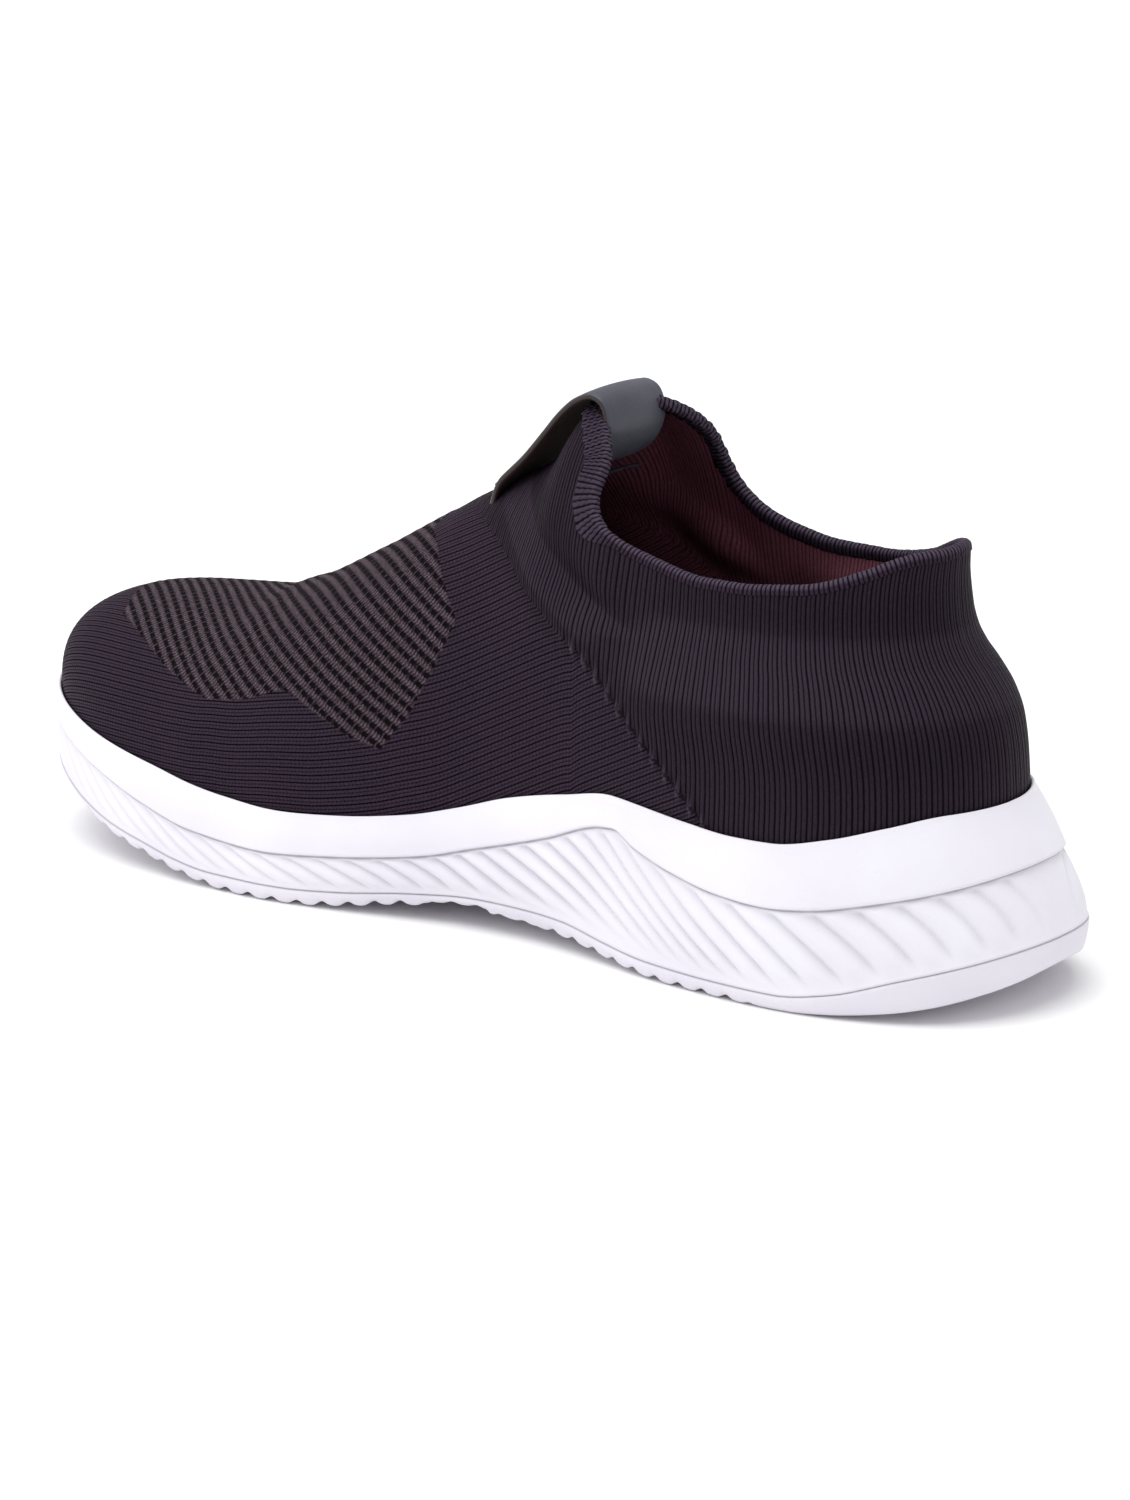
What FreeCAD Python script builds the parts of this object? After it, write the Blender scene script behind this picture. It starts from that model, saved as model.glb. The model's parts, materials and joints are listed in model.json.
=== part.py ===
import FreeCAD, Part
import math
import os

# ---------------------------------------------------------------------------
# Slip-on knit running shoe (right foot), millimetres.
# +X towards the toe, +Y towards the medial (inner) side, +Z up.
# Origin: centre of the bounding box footprint, on the ground plane.
# ---------------------------------------------------------------------------

doc = FreeCAD.newDocument("running_shoe")
V = FreeCAD.Vector

# --- driving dimensions ------------------------------------------------------
sheet = doc.addObject("Spreadsheet::Sheet", "Params")
DIMS = [
    ("size_scale", 1.0),            # 1.0 = this size
    ("knit_thickness", 2.4),        # two-layer knitted upper
    ("rim_band_width", 4.6),        # folded edge of the collar
    ("rim_band_extra", 0.5),        # how far the fold stands proud
    ("counter_thickness", 1.2),
    ("counter_height", 74.0),
    ("counter_front_x", -78.0),
    ("lining_thickness", 2.2),
    ("puff_thickness", 0.8),
    ("puff_rear_x", 112.0),
    ("board_thickness", 1.2),
    ("board_edge", 2.85),           # board outline inside the feather line
    ("liner_thickness", 4.4),
    ("liner_edge", 4.05),
    ("cover_thickness", 0.7),
    ("thread_band", 0.8),
    ("cup_clearance", 0.3),
    ("cup_lip", 1.0),
    ("tread_depth", 2.2),
    ("tread_groove", 3.0),
    ("flex_x", 50.0),               # ball-of-foot flex line
    ("flex_z", 21.0),
    ("flex_wedge", 37.0),           # degrees of free wedge above the flex line
    ("flex_gap", 0.25),
    ("strap_width", 25.0),
    ("strap_thickness", 1.6),
    ("strap_half", 12.5),
    ("strap_base_x", 12.0),
    ("tack_diameter", 1.0),
    ("tack_length", 20.0),
    ("origin_x", 1.055),             # middle of the footprint in the last's own frame
    ("origin_y", -1.75),
]
for i, (alias, val) in enumerate(DIMS):
    cell = "B%d" % (i + 2)
    sheet.set("A%d" % (i + 2), alias)
    sheet.set(cell, str(val))
    sheet.setAlias(cell, alias)
doc.recompute()
P = {}
for alias, _ in DIMS:
    P[alias] = float(getattr(sheet, alias))
K = P["size_scale"]

# --- profile curves of the last and the sole unit ----------------------------


def pchip(xs, ys):
    n = len(xs)
    h = [xs[i + 1] - xs[i] for i in range(n - 1)]
    d = [(ys[i + 1] - ys[i]) / h[i] for i in range(n - 1)]
    m = [0.0] * n
    m[0] = d[0]
    m[-1] = d[-1]
    for i in range(1, n - 1):
        if d[i - 1] * d[i] <= 0:
            m[i] = 0.0
        else:
            w1 = 2 * h[i] + h[i - 1]
            w2 = h[i] + 2 * h[i - 1]
            m[i] = (w1 + w2) / (w1 / d[i - 1] + w2 / d[i])

    def f(x):
        if x <= xs[0]:
            return ys[0]
        if x >= xs[-1]:
            return ys[-1]
        lo = 0
        hi = n - 1
        while hi - lo > 1:
            k = (lo + hi) // 2
            if xs[k] <= x:
                lo = k
            else:
                hi = k
        i = lo
        u = (x - xs[i]) / h[i]
        return ((1 + 2 * u) * (1 - u) ** 2 * ys[i] + u * (1 - u) ** 2 * h[i] * m[i]
                + u * u * (3 - 2 * u) * ys[i + 1] + u * u * (u - 1) * h[i] * m[i + 1])
    return f


def tab(rows):
    return pchip([r[0] for r in rows], [r[1] for r in rows])


# centre line of the last, as y over x
yc = tab([(-148, 3.0), (-90, 3.0), (-40, 1.2), (0, 0.0), (60, -0.5), (110, 0.0), (148, 1.5)])
# half widths at the feather line, medial and lateral
wn = tab([(-148, 38), (-85, 38), (-60, 37.2), (-40, 34.8), (-20, 33.0), (0, 33.4), (20, 37.4), (40, 42), (60, 44.6),
          (78, 44.6), (95, 42.8), (112, 40.4), (128, 37.4), (140, 34.8), (151, 32)])
wf = tab([(-148, 37.5), (-85, 37.5), (-60, 38), (-40, 38.6), (-20, 39.6), (0, 41.2), (20, 43.6), (40, 46), (60, 47.2),
          (78, 46.8), (95, 44.4), (112, 41.2), (128, 36.8), (140, 33.0), (151, 30)])
# feather line (where the upper enters the midsole cup), as z over x
zf = tab([(-148, 48), (-128, 47.4), (-118, 45), (-106, 41.6), (-92, 39), (-81, 38.8), (-67, 39.8), (-52, 41.2),
          (-44, 41.6), (-29, 38.8), (-11, 34.7), (4, 29.8), (17, 26.5), (34, 24.2), (52, 23.2), (70, 24.4), (92, 28.0),
          (113, 31.8), (130, 35.6), (148, 39.5)])
# instep ridge before the toe rounding, as z over x
zr0 = tab([(-148, 130.5), (-20.5, 130.5), (-18, 129.5), (-15, 126), (-12, 121), (-9, 116.8), (-4, 112.8), (3, 108.8),
           (11, 104.5), (19, 100.5), (25, 97), (32, 93), (38, 89.5), (44, 86), (50, 82.8), (56, 79.5), (63, 75.8),
           (69, 73), (75, 71), (82, 68), (95, 65.6), (111, 64.8), (131, 65.5), (151, 66)])
nn = tab([(-148, 3.0), (-48, 3.0), (-34, 3.5), (-18, 3.4), (0, 2.6), (60, 2.4), (148, 2.5)])
tp = tab([(-148, 0.14), (-48, 0.14), (-34, 0.05), (-20, 0.05), (60, 0.0), (148, 0.0)])
# heel back line, as x over z
xb = tab([(0, -134), (45, -134), (49, -133.8), (57, -133.2), (64, -132), (70, -129.6), (76, -125.6), (80, -122.4),
          (85, -119.8), (90, -118.6), (98, -118), (106, -118.5), (140, -119)])
XQ, LQ, PQ, LH = 94.0, 56.0, 2.9, 48.0
XT = XQ + LQ
# sole levels: ground edge, outsole line, groove line, as z over x
zb = tab([(-134, 12), (-131, 9.5), (-124, 6), (-113, 2.8), (-103, 0.8), (-92, 0), (-65, 0), (-50, 1.0), (-30, 3.2),
          (-8, 4.5), (15, 3.6), (35, 1.0), (48, 0.0), (66, 0.0), (84, 2.0), (95, 4), (108, 6.5), (122, 10.5),
          (135, 14.5), (152, 19)])
zo = tab([(-134, 17.5), (-129, 15), (-120, 11), (-108, 6), (-95, 3.8), (-80, 3.8), (-60, 4.2), (-45, 5.5), (-30, 7.5),
          (-8, 8), (15, 6.8), (35, 4.8), (50, 4.0), (72, 4.2), (84, 5.6), (95, 7.6), (108, 10.2), (122, 14.2),
          (135, 18.4), (152, 23)])
zg = tab([(-134, 34), (-128, 31.5), (-116, 28), (-102, 25), (-92, 24.2), (-80, 25), (-66, 27.8), (-55, 31.5),
          (-48.5, 34.6), (-44, 34.2), (-25, 27.5), (-5, 21.5), (13, 16.8), (35, 14), (56, 12.6), (76, 14), (95, 18),
          (108, 22), (118, 25), (130, 28.5), (152, 33)])
# how far each level stands outside the feather line
og = tab([(-134, 9.5), (-128, 8.5), (-110, 6), (-90, 5.2), (-60, 5), (-20, 4.2), (20, 4), (60, 4), (100, 3.4),
          (130, 2.4), (152, 2)])
oo = tab([(-134, 16), (-128, 14), (-110, 8.2), (-90, 6), (-60, 5.2), (-20, 3.6), (20, 3.4), (60, 3.8), (100, 3.0),
          (130, 1.8), (152, 1)])
ob = tab([(-134, 15), (-128, 12.6), (-110, 6.8), (-90, 5), (-60, 4.4), (-20, 2.4), (20, 2.4), (60, 3), (100, 1.6),
          (130, -0.4), (152, -1.2)])
# footbed of the midsole cup, as z over x
zbed = tab([(-134, 27), (-90, 26), (-60, 25), (-20, 20.5), (20, 16), (50, 14.2), (75, 15.2), (100, 19), (125, 24.5),
            (152, 31)])
# collar rim seen from the side
RIM = [(-118.4, 104.8), (-112, 103.6), (-104, 101.2), (-98, 98.8), (-90, 96.4), (-80, 95), (-69, 94.8), (-57, 96.3),
       (-46, 99.8), (-38, 104), (-33.5, 108.5), (-31.6, 113), (-31, 117.5), (-30.2, 121.5), (-28, 125.6),
       (-24.6, 128.4), (-21.5, 129.8), (-19.5, 130.2)]


def rb(x, z):
    """rounding factor of the last at the side-view point x, z"""
    t = (z - zf(x)) / (zr0(x) - zf(x))
    q = max(0.0, (x - XQ) / LQ)
    e = 1 - max(0.0, t) ** nn(x) - q ** PQ
    if e <= 0:
        return 0.0
    s = (x - xb(z)) / LH
    if s <= 0:
        return 0.0
    r = 1.0 if s >= 1 else math.sqrt(max(0.0, 1 - (1 - s) ** 2.15))
    return (1 - tp(x) * max(0.0, t)) * math.sqrt(e) * r


def ridge(x):
    q = max(0.0, (x - XQ) / LQ)
    e = max(0.0, 1 - q ** PQ)
    return zf(x) + (zr0(x) - zf(x)) * e ** (1 / nn(x))


HALF = 0.5  # half width of the narrow strip that closes heel, toe and ridge


def side_y(x, z, side):
    w = (wn if side > 0 else wf)(x) * rb(x, z)
    return yc(x) + side * max(HALF, w)


# --- surfaces ------------------------------------------------------------------


def knots(n, deg):
    m = n - deg
    return [float(i) for i in range(m + 1)], [deg + 1] + [1] * (m - 1) + [deg + 1]


def surf(grid):
    nu = len(grid)
    nv = len(grid[0])
    du = min(3, nu - 1)
    dv = min(3, nv - 1)
    ku, mu = knots(nu, du)
    kv, mv = knots(nv, dv)
    s = Part.BSplineSurface()
    s.buildFromPolesMultsKnots([[V(p[0] * K, p[1] * K, p[2] * K) for p in row] for row in grid],
                               mu, mv, ku, kv, False, False, du, dv)
    return s.toShape()


def box_solid(near, far):
    """closed solid between two side nets, each [along the shoe][upwards]"""
    faces = [surf(near), surf(far),
             surf([[a[0], b[0]] for a, b in zip(near, far)]),
             surf([[a[-1], b[-1]] for a, b in zip(near, far)]),
             surf([[near[0][j], far[0][j]] for j in range(len(near[0]))]),
             surf([[near[-1][j], far[-1][j]] for j in range(len(near[0]))])]
    sh = Part.makeShell(faces)
    sh.sewShape()
    if sh.ShapeType != "Shell":
        sh = sh.Shells[0]
    so = Part.makeSolid(sh)
    if so.Volume < 0:
        so.reverse()
    return so


NS = 32


def feather(side, n=NS):
    """feather line in plan with outward normals, heel to toe"""
    x0 = -133.9
    x1 = XT
    pts = []

    def at(f):
        x = x0 + (x1 - x0) * (1 - math.cos(math.pi * f)) / 2
        return x, side_y(x, zf(x), side)
    for i in range(n + 1):
        f = i / n
        a = at(max(0.0, f - 0.006))
        b = at(min(1.0, f + 0.006))
        tx = b[0] - a[0]
        ty = (b[1] - a[1]) * side
        if i == 0 or i == n:
            nx, ny = (-1.0 if i == 0 else 1.0), 0.0
        else:
            r = math.hypot(tx, ty)
            nx, ny = -ty / r, side * tx / r
        p = at(f)
        pts.append((p[0], p[1], nx, ny))
    return pts


def level(side, off, z):
    """one closed level's half: off and z are functions of x"""
    out = []
    for (x, y, nx, ny) in feather(side):
        o = off(x)
        py = y + ny * o
        if side > 0:
            py = max(py, yc(x) + HALF)
        else:
            py = min(py, yc(x) - HALF)
        out.append((x + nx * o, py, z(x)))
    return out


def stack(levels):
    nets = []
    for side in (1, -1):
        rows = [level(side, o, z) for (o, z) in levels]
        nets.append([[rows[j][i] for j in range(len(rows))] for i in range(len(rows[0]))])
    return box_solid(nets[0], nets[1])


def const(c):
    return lambda x: c


def plus(f, c):
    return lambda x: f(x) + c


def mix(f, g, t, c=0.0):
    return lambda x: f(x) * (1 - t) + g(x) * t + c


def feat(name, shape):
    o = doc.addObject("Part::Feature", name)
    o.Label = name
    o.Shape = shape
    o.Placement = FreeCAD.Placement()
    return o


def boolean(kind, name, base, tool):
    o = doc.addObject("Part::" + kind, name)
    o.Label = name
    o.Base = base
    o.Tool = tool
    return o


def profile_prism(name, pts):
    """prism across the shoe from a side-view polygon"""
    w = Part.makePolygon([V(p[0] * K, -120 * K, p[1] * K) for p in pts + [pts[0]]])
    return feat(name, Part.Face(w).extrude(V(0, 240 * K, 0)))


# --- regions either side of the flex line ---------------------------------------


def block(name, ex, ez, angle=None, size=(260, 300, 220), below=False):
    b = doc.addObject("Part::Box", name)
    b.Label = name
    b.Length, b.Width, b.Height = size
    b.setExpression("Placement.Base.x", ex)
    b.Placement.Base.y = -150
    b.setExpression("Placement.Base.y", "-150 mm")
    b.setExpression("Placement.Base.z", ez)
    if angle:
        b.Placement = FreeCAD.Placement(V(0, -150, 0), FreeCAD.Rotation(V(0, 1, 0), P["flex_wedge"]))
        b.setExpression("Placement.Base.x", ex)
        b.setExpression("Placement.Base.y", "-150 mm")
        b.setExpression("Placement.Base.z", ez)
        b.setExpression("Placement.Rotation.Angle", angle)
    return b


MM = " * 1 mm"
front_hi = block("front_block_high", "(Params.flex_x + Params.flex_gap)" + MM, "Params.flex_z" + MM,
                 "Params.flex_wedge * 1 deg")
front_lo = block("front_block_low", "(Params.flex_x + Params.flex_gap)" + MM, "(Params.flex_z - 100)" + MM,
                 size=(260, 300, 100))
front_region = boolean("Fuse", "front_region", front_hi, front_lo)
rear_region = block("rear_region", "(Params.flex_x - 260)" + MM, "-60 mm", size=(260, 300, 300))
wedge_box = block("wedge_box", "(Params.flex_x + 0.1)" + MM, "(Params.flex_z + 0.1)" + MM, size=(120, 300, 200))
wedge_cut = block("wedge_cut", "(Params.flex_x)" + MM, "Params.flex_z" + MM, "Params.flex_wedge * 1 deg")
flex_region = boolean("Cut", "flex_region", wedge_box, wedge_cut)
doc.recompute()

# --- outsole ----------------------------------------------------------------------
out_blank = feat("outsole_blank", stack([(ob, plus(zb, -4.0)), (mix(ob, oo, 0.5), mix(zb, zo, 0.4)), (oo, zo)]))
xs = [-175, -152, -149, -146, -142, -137, -130, -122, -113, -103, -92, -65, -57, -50, -40, -30, -19, -8, 4, 15, 26, 35,
      48, 66, 75, 84, 95, 108, 122, 135, 152, 175]
prof = [(x, zb(x) if x > -134 else 12.0) for x in xs]
# ground profile follows the outer edge, which lies outside the feather line at the heel
HEELZ = tab([(-152, 12.5), (-149, 11), (-146, 9.0), (-140, 6.6), (-132, 4.2), (-122, 2.2), (-110, 0.7), (-98, 0.0),
             (-92, 0.0)])
prof = [(x, HEELZ(x) if x < -92 else zb(x)) for x in xs]
ground = profile_prism("ground_cut", prof + [(175, -60), (-175, -60)])
out_flat = boolean("Cut", "outsole_flat", out_blank, ground)
# tread: transverse grooves with a rib between, deeper at the midfoot
tools = []
for x in (-128, -112, -96, -60, -46, -32, 22, 34, 74, 88, 102, 116, 130):
    z0 = (HEELZ(x) if x < -92 else zb(x)) - 3.0
    b = Part.makeBox(P["tread_groove"] * K, 200 * K, (3.0 + P["tread_depth"] * 0.8) * K, V((x - 1.5) * K, -100 * K, z0 * K))
    tools.append(b)
mid = Part.makeBox(16 * K, 200 * K, 10 * K, V(-6 * K, -100 * K, -4.6 * K))
tools.append(mid)
comp = Part.makeCompound(tools)
tread = feat("tread_grooves", comp)
outsole_full = boolean("Cut", "outsole_full", out_flat, tread)

# --- midsole cup ---------------------------------------------------------------------
E = 0.05
mid_blank = feat("midsole_blank", stack([
    (plus(oo, -0.2), plus(zo, E)),
    (mix(oo, og, 0.35, 0.3), mix(zo, zg, 0.33)),
    (mix(oo, og, 0.7, 0.4), mix(zo, zg, 0.7)),
    (plus(og, -0.2), zg),
    (mix(og, const(P["cup_lip"]), 0.45, 0.4), mix(zg, zf, 0.5)),
    (mix(og, const(P["cup_lip"]), 0.9, 0.2), plus(zf, -1.2)),
    (const(P["cup_lip"]), zf)]))
cup = feat("cup_space", stack([(const(P["cup_clearance"]), zbed), (const(P["cup_clearance"]), mix(zbed, zf, 0.5)),
                               (const(P["cup_clearance"]), zf), (const(P["cup_clearance"]), plus(zf, 6.0))]))
midsole_full = boolean("Cut", "midsole_full", mid_blank, cup)

# --- board, seam thread, sockliner and its cover --------------------------------------
bt = P["board_thickness"]
e1 = P["board_edge"]
e2 = P["liner_edge"]
board_full = feat("board_full", stack([(const(-e1), plus(zbed, 0.15)), (const(-e1), plus(zbed, 0.15 + bt))]))
tz = 0.15 + bt + 0.1
thread_out = feat("thread_outer", stack([(const(-e1), plus(zbed, tz)), (const(-e1), plus(zbed, tz + P["thread_band"]))]))
thread_in = feat("thread_inner", stack([(const(-e2 + 0.15), plus(zbed, tz - 1)),
                                        (const(-e2 + 0.15), plus(zbed, tz + P["thread_band"] + 1))]))
thread_full = boolean("Cut", "thread_full", thread_out, thread_in)
lz = tz
lt = P["liner_thickness"]
liner_full = feat("liner_full", stack([(const(-e2), plus(zbed, lz)), (const(-e2), plus(zbed, lz + lt * 0.5)),
                                       (const(-e2), plus(zbed, lz + lt))]))
cz = lz + lt + 0.05
cover_full = feat("cover_full", stack([(const(-e2), plus(zbed, cz)), (const(-e2), plus(zbed, cz + P["cover_thickness"]))]))

# --- upper -----------------------------------------------------------------------------


def seg_ease(i):
    """bottom and top stations of column i"""
    if i <= 10:
        f = 1 - math.cos(math.pi / 2 * i / 10.0)
        return (-133.9 + (-52 + 133.9) * f, -119 + (-34 + 119) * f)
    if i <= 24:
        f = (i - 10) / 14.0
        return (-52 + 52 * f, -34 + 38 * f)
    f = math.sin(math.pi / 2 * (i - 24) / 26.0)
    return (XT * f, 4 + (XT - 4.8) * f)


NU = 51
NV = 13


def upper_net(side, inset=0.0, drop=0.0):
    """outer skin net of the upper; inset moves it inwards, drop lowers its bottom edge"""
    TB = [seg_ease(i) for i in range(NU)]
    c00 = (TB[0][0], zf(TB[0][0]))
    c10 = (TB[-1][0], zf(TB[-1][0]))
    c01 = (TB[0][1], ridge(TB[0][1]))
    c11 = (TB[-1][1], ridge(TB[-1][1]))
    net = []
    for i in range(NU):
        bx, tx = TB[i]
        f = (bx - TB[0][0]) / (TB[-1][0] - TB[0][0])
        B = (bx, zf(bx))
        T = (tx, ridge(tx))
        col = []
        for j in range(NV):
            v = j / (NV - 1.0)
            g = 1 - (1 - v) ** 2
            lz_ = c00[1] + (c01[1] - c00[1]) * g
            L = (xb(lz_), lz_)
            R = (c10[0] + (c11[0] - c10[0]) * g, c10[1] + (c11[1] - c10[1]) * g)
            x = (1 - g) * B[0] + g * T[0] + (1 - f) * L[0] + f * R[0] - (
                (1 - f) * (1 - g) * c00[0] + f * (1 - g) * c10[0] + (1 - f) * g * c01[0] + f * g * c11[0])
            z = (1 - g) * B[1] + g * T[1] + (1 - f) * L[1] + f * R[1] - (
                (1 - f) * (1 - g) * c00[1] + f * (1 - g) * c10[1] + (1 - f) * g * c01[1] + f * g * c11[1])
            y = side_y(x, z, side)
            if j == NV - 1 or i == 0 or i == NU - 1:
                y = yc(x) + side * HALF
            col.append([x, y, z])
        net.append(col)
    if inset:
        new = []
        for i in range(NU):
            col = []
            for j in range(NV):
                a = net[max(0, i - 1)][j]
                b = net[min(NU - 1, i + 1)][j]
                c = net[i][max(0, j - 1)]
                d = net[i][min(NV - 1, j + 1)]
                u = (b[0] - a[0], b[1] - a[1], b[2] - a[2])
                w = (d[0] - c[0], d[1] - c[1], d[2] - c[2])
                n = [u[1] * w[2] - u[2] * w[1], u[2] * w[0] - u[0] * w[2], u[0] * w[1] - u[1] * w[0]]
                if n[1] * side < 0:
                    n = [-n[0], -n[1], -n[2]]
                p = net[i][j]
                if j == NV - 1 or i == 0 or i == NU - 1:
                    n[1] = 0.0
                    if i == 0:
                        n = [-abs(n[0]), 0.0, n[2]] if j < NV - 1 else [-1.0, 0.0, 1.0]
                    elif i == NU - 1:
                        n = [abs(n[0]), 0.0, n[2]]
                    elif n[2] < 0:
                        n = [-n[0], 0.0, -n[2]]
                r = math.sqrt(n[0] ** 2 + n[1] ** 2 + n[2] ** 2)
                if r < 1e-9:
                    n = [-1.0 if i == 0 else 1.0, 0.0, 0.0]
                    r = 1.0
                if j <= 1:
                    n[2] = 0.0
                    r = math.hypot(n[0], n[1])
                q = [p[0] - inset * n[0] / r, p[1] - inset * n[1] / r, p[2] - inset * n[2] / r]
                lim = yc(q[0]) + side * HALF
                if (q[1] - lim) * side < 0 or j == NV - 1 or i == 0 or i == NU - 1:
                    q[1] = lim
                col.append(q)
            new.append(col)
        net = new
    # skirt inside the midsole cup
    out = []
    for i in range(NU):
        p = net[i][0]
        x0 = TB[i][0]
        zlow = zbed(x0) + 0.15 - drop
        zm = (zlow + p[2]) / 2
        out.append([[p[0], p[1], zlow], [p[0], p[1], zm]] + net[i])
    return out


def shell_solid(inset, drop=0.0):
    return box_solid(upper_net(1, inset, drop), upper_net(-1, inset, drop))


kt = P["knit_thickness"]
skin_out = feat("skin_outer", shell_solid(0.0))
skin_in = feat("skin_inner", shell_solid(kt, 4.0))
upper_shell = boolean("Cut", "upper_shell", skin_out, skin_in)


def rim_line(down):
    """rim line moved down along its own normal"""
    out = []
    n = len(RIM)
    for i in range(n):
        a = RIM[max(0, i - 1)]
        b = RIM[min(n - 1, i + 1)]
        tx, tz_ = b[0] - a[0], b[1] - a[1]
        r = math.hypot(tx, tz_)
        out.append((RIM[i][0] + down * tz_ / r, RIM[i][1] - down * tx / r))
    return out


def above(down, name):
    r = rim_line(down)
    first = r[0]
    last = r[-1]
    pts = [(-170, first[1])] + r + [(last[0] + 6, last[1] + 0.2 if down == 0 else last[1] - 0.4), (30, 160), (30, 220), (-170, 220)]
    return profile_prism(name, pts)


bw = P["rim_band_width"]
mouth_low = above(bw, "mouth_low")
upper_full = boolean("Cut", "upper_full", upper_shell, mouth_low)
doc.recompute()

# folded collar edge
fold_out = feat("fold_outer", shell_solid(-P["rim_band_extra"]))
fold_in = feat("fold_inner", shell_solid(kt + 0.9, 4.0))
fold_shell = boolean("Cut", "fold_shell", fold_out, fold_in)
mouth_top = above(0.0, "mouth_top")
fold_cut = boolean("Cut", "fold_cut", fold_shell, mouth_top)
mouth_band = above(bw - 0.1, "mouth_band")
collar_rim = boolean("Common", "collar_rim", fold_cut, mouth_band)

# heel counter and padded heel lining
ca = shell_solid(kt + 0.15, 0.0)
cb = shell_solid(kt + 0.15 + P["counter_thickness"], 6.0)
zc = P["counter_height"]
fx = P["counter_front_x"]
counter_zone = profile_prism("counter_zone", [(-160, 36.0), (fx - 14, 36.0), (fx, 46.0), (fx - 6, 60.0), (-96, 70.0), (-112, zc),
                                              (-160, zc)])
counter_body = boolean("Common", "counter_body", feat("counter_outer", ca), counter_zone)
heel_counter = boolean("Cut", "heel_counter", counter_body, feat("counter_inner", cb))
la = shell_solid(kt + 0.15 + P["counter_thickness"] + 0.15, 0.0)
lb = shell_solid(kt + 0.3 + P["counter_thickness"] + P["lining_thickness"], 6.0)
lining_zone = profile_prism("lining_zone", [(-160, 36.0), (-66, 36.0), (-56, 52.0), (-60, 78.0), (-84, 88.0), (-160, 95.0)])
lining_body = boolean("Common", "lining_body", feat("lining_outer", la), lining_zone)
heel_lining = boolean("Cut", "heel_lining", lining_body, feat("lining_inner", lb))

# toe puff
pa = shell_solid(kt + 0.15, 0.0)
pb = shell_solid(kt + 0.15 + P["puff_thickness"], 6.0)
px = P["puff_rear_x"]
puff_zone = profile_prism("puff_zone", [(px + 12, 36.5), (px, 60.0), (px, 80.0), (170, 80.0), (170, 42.5), (px + 24, 39.0)])
puff_body = boolean("Common", "puff_body", feat("puff_outer", pa), puff_zone)
toe_puff = boolean("Cut", "toe_puff", puff_body, feat("puff_inner", pb))

# --- pieces either side of the flex line -----------------------------------------------
subparts = {}


def piece(name, obj):
    obj.Label = name
    subparts[name] = obj
    return obj


def split(base, full):
    piece(base + "_rearfoot", boolean("Common", base + "_rearfoot", full, rear_region))
    piece(base + "_forefoot", boolean("Common", base + "_forefoot", full, front_region))


split("outsole", outsole_full)
split("midsole", midsole_full)
split("strobel_board", board_full)
split("strobel_seam", thread_full)
split("sockliner_foam", liner_full)
split("sockliner_cover", cover_full)
piece("knit_upper_quarters", boolean("Common", "knit_upper_quarters", upper_full, rear_region))
piece("knit_upper_toe", boolean("Common", "knit_upper_toe", upper_full, front_region))
piece("knit_upper_flex_zone", boolean("Common", "knit_upper_flex_zone", upper_full, flex_region))
piece("collar_rim", collar_rim)
piece("heel_counter", heel_counter)
piece("heel_lining", heel_lining)
piece("toe_puff", toe_puff)

# --- pull tab: a webbing strap bridging the instep and the tongue edge ---------------------
LOOP = [(12.0, 106.0), (4.0, 111.6), (-2.0, 117.4), (-8.0, 123.4), (-14.0, 129.0), (-18.5, 132.6), (-22.0, 134.4),
        (-26.0, 134.4), (-29.4, 132.0), (-31.0, 127.0), (-30.8, 121.6)]
FRONT = [(18.6, 102.9), (15.6, 104.3), (12.5, 105.75)]
REAR = [(-30.75, 121.0), (-30.0, 117.2), (-27.4, 114.2), (-23.2, 112.9), (-19.4, 113.0), (-16.9, 113.9)]


def ribbon_sides(path, t):
    a, b = [], []
    n = len(path)
    for i in range(n):
        p = path[max(0, i - 1)]
        q = path[min(n - 1, i + 1)]
        tx, tz_ = q[0] - p[0], q[1] - p[1]
        r = math.hypot(tx, tz_)
        nx, nz = -tz_ / r, tx / r
        a.append((path[i][0] + nx * t / 2, path[i][1] + nz * t / 2))
        b.append((path[i][0] - nx * t / 2, path[i][1] - nz * t / 2))
    return a, b


def strap(name, path):
    """strap length as a pad across the shoe of a side-view ribbon section"""
    body = doc.addObject("PartDesign::Body", name)
    body.Label = name
    sk = body.newObject("Sketcher::SketchObject", name + "_section")
    plane = [f for f in body.Origin.OriginFeatures if f.Role == "XZ_Plane"][0]
    sk.AttachmentSupport = [(plane, "")]
    sk.MapMode = "FlatFace"
    a, b = ribbon_sides(path, P["strap_thickness"])
    ring = a + b[::-1]
    n = len(ring)
    for i in range(n):
        p, q = ring[i], ring[(i + 1) % n]
        sk.addGeometry(Part.LineSegment(V(p[0] * K, p[1] * K, 0), V(q[0] * K, q[1] * K, 0)), False)
    pad = body.newObject("PartDesign::Pad", name + "_pad")
    pad.Profile = sk
    pad.Midplane = True
    pad.setExpression("Length", "Params.strap_width * 1 mm")
    body.Tip = pad
    return body


for nm, path in (("pull_tab_loop", LOOP), ("pull_tab_front_end", FRONT), ("pull_tab_rear_end", REAR)):
    piece(nm, strap(nm, path))


def tack(name, x, z, dx):
    """bar tack: a short bar of thread across the strap end"""
    c = doc.addObject("Part::Cylinder", name)
    c.Label = name
    c.setExpression("Radius", "Params.tack_diameter / 2 * 1 mm")
    c.setExpression("Height", "Params.tack_length * 1 mm")
    c.Placement = FreeCAD.Placement(V(x * K, P["tack_length"] / 2 * K, z * K), FreeCAD.Rotation(V(1, 0, 0), 90))
    return c


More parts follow.
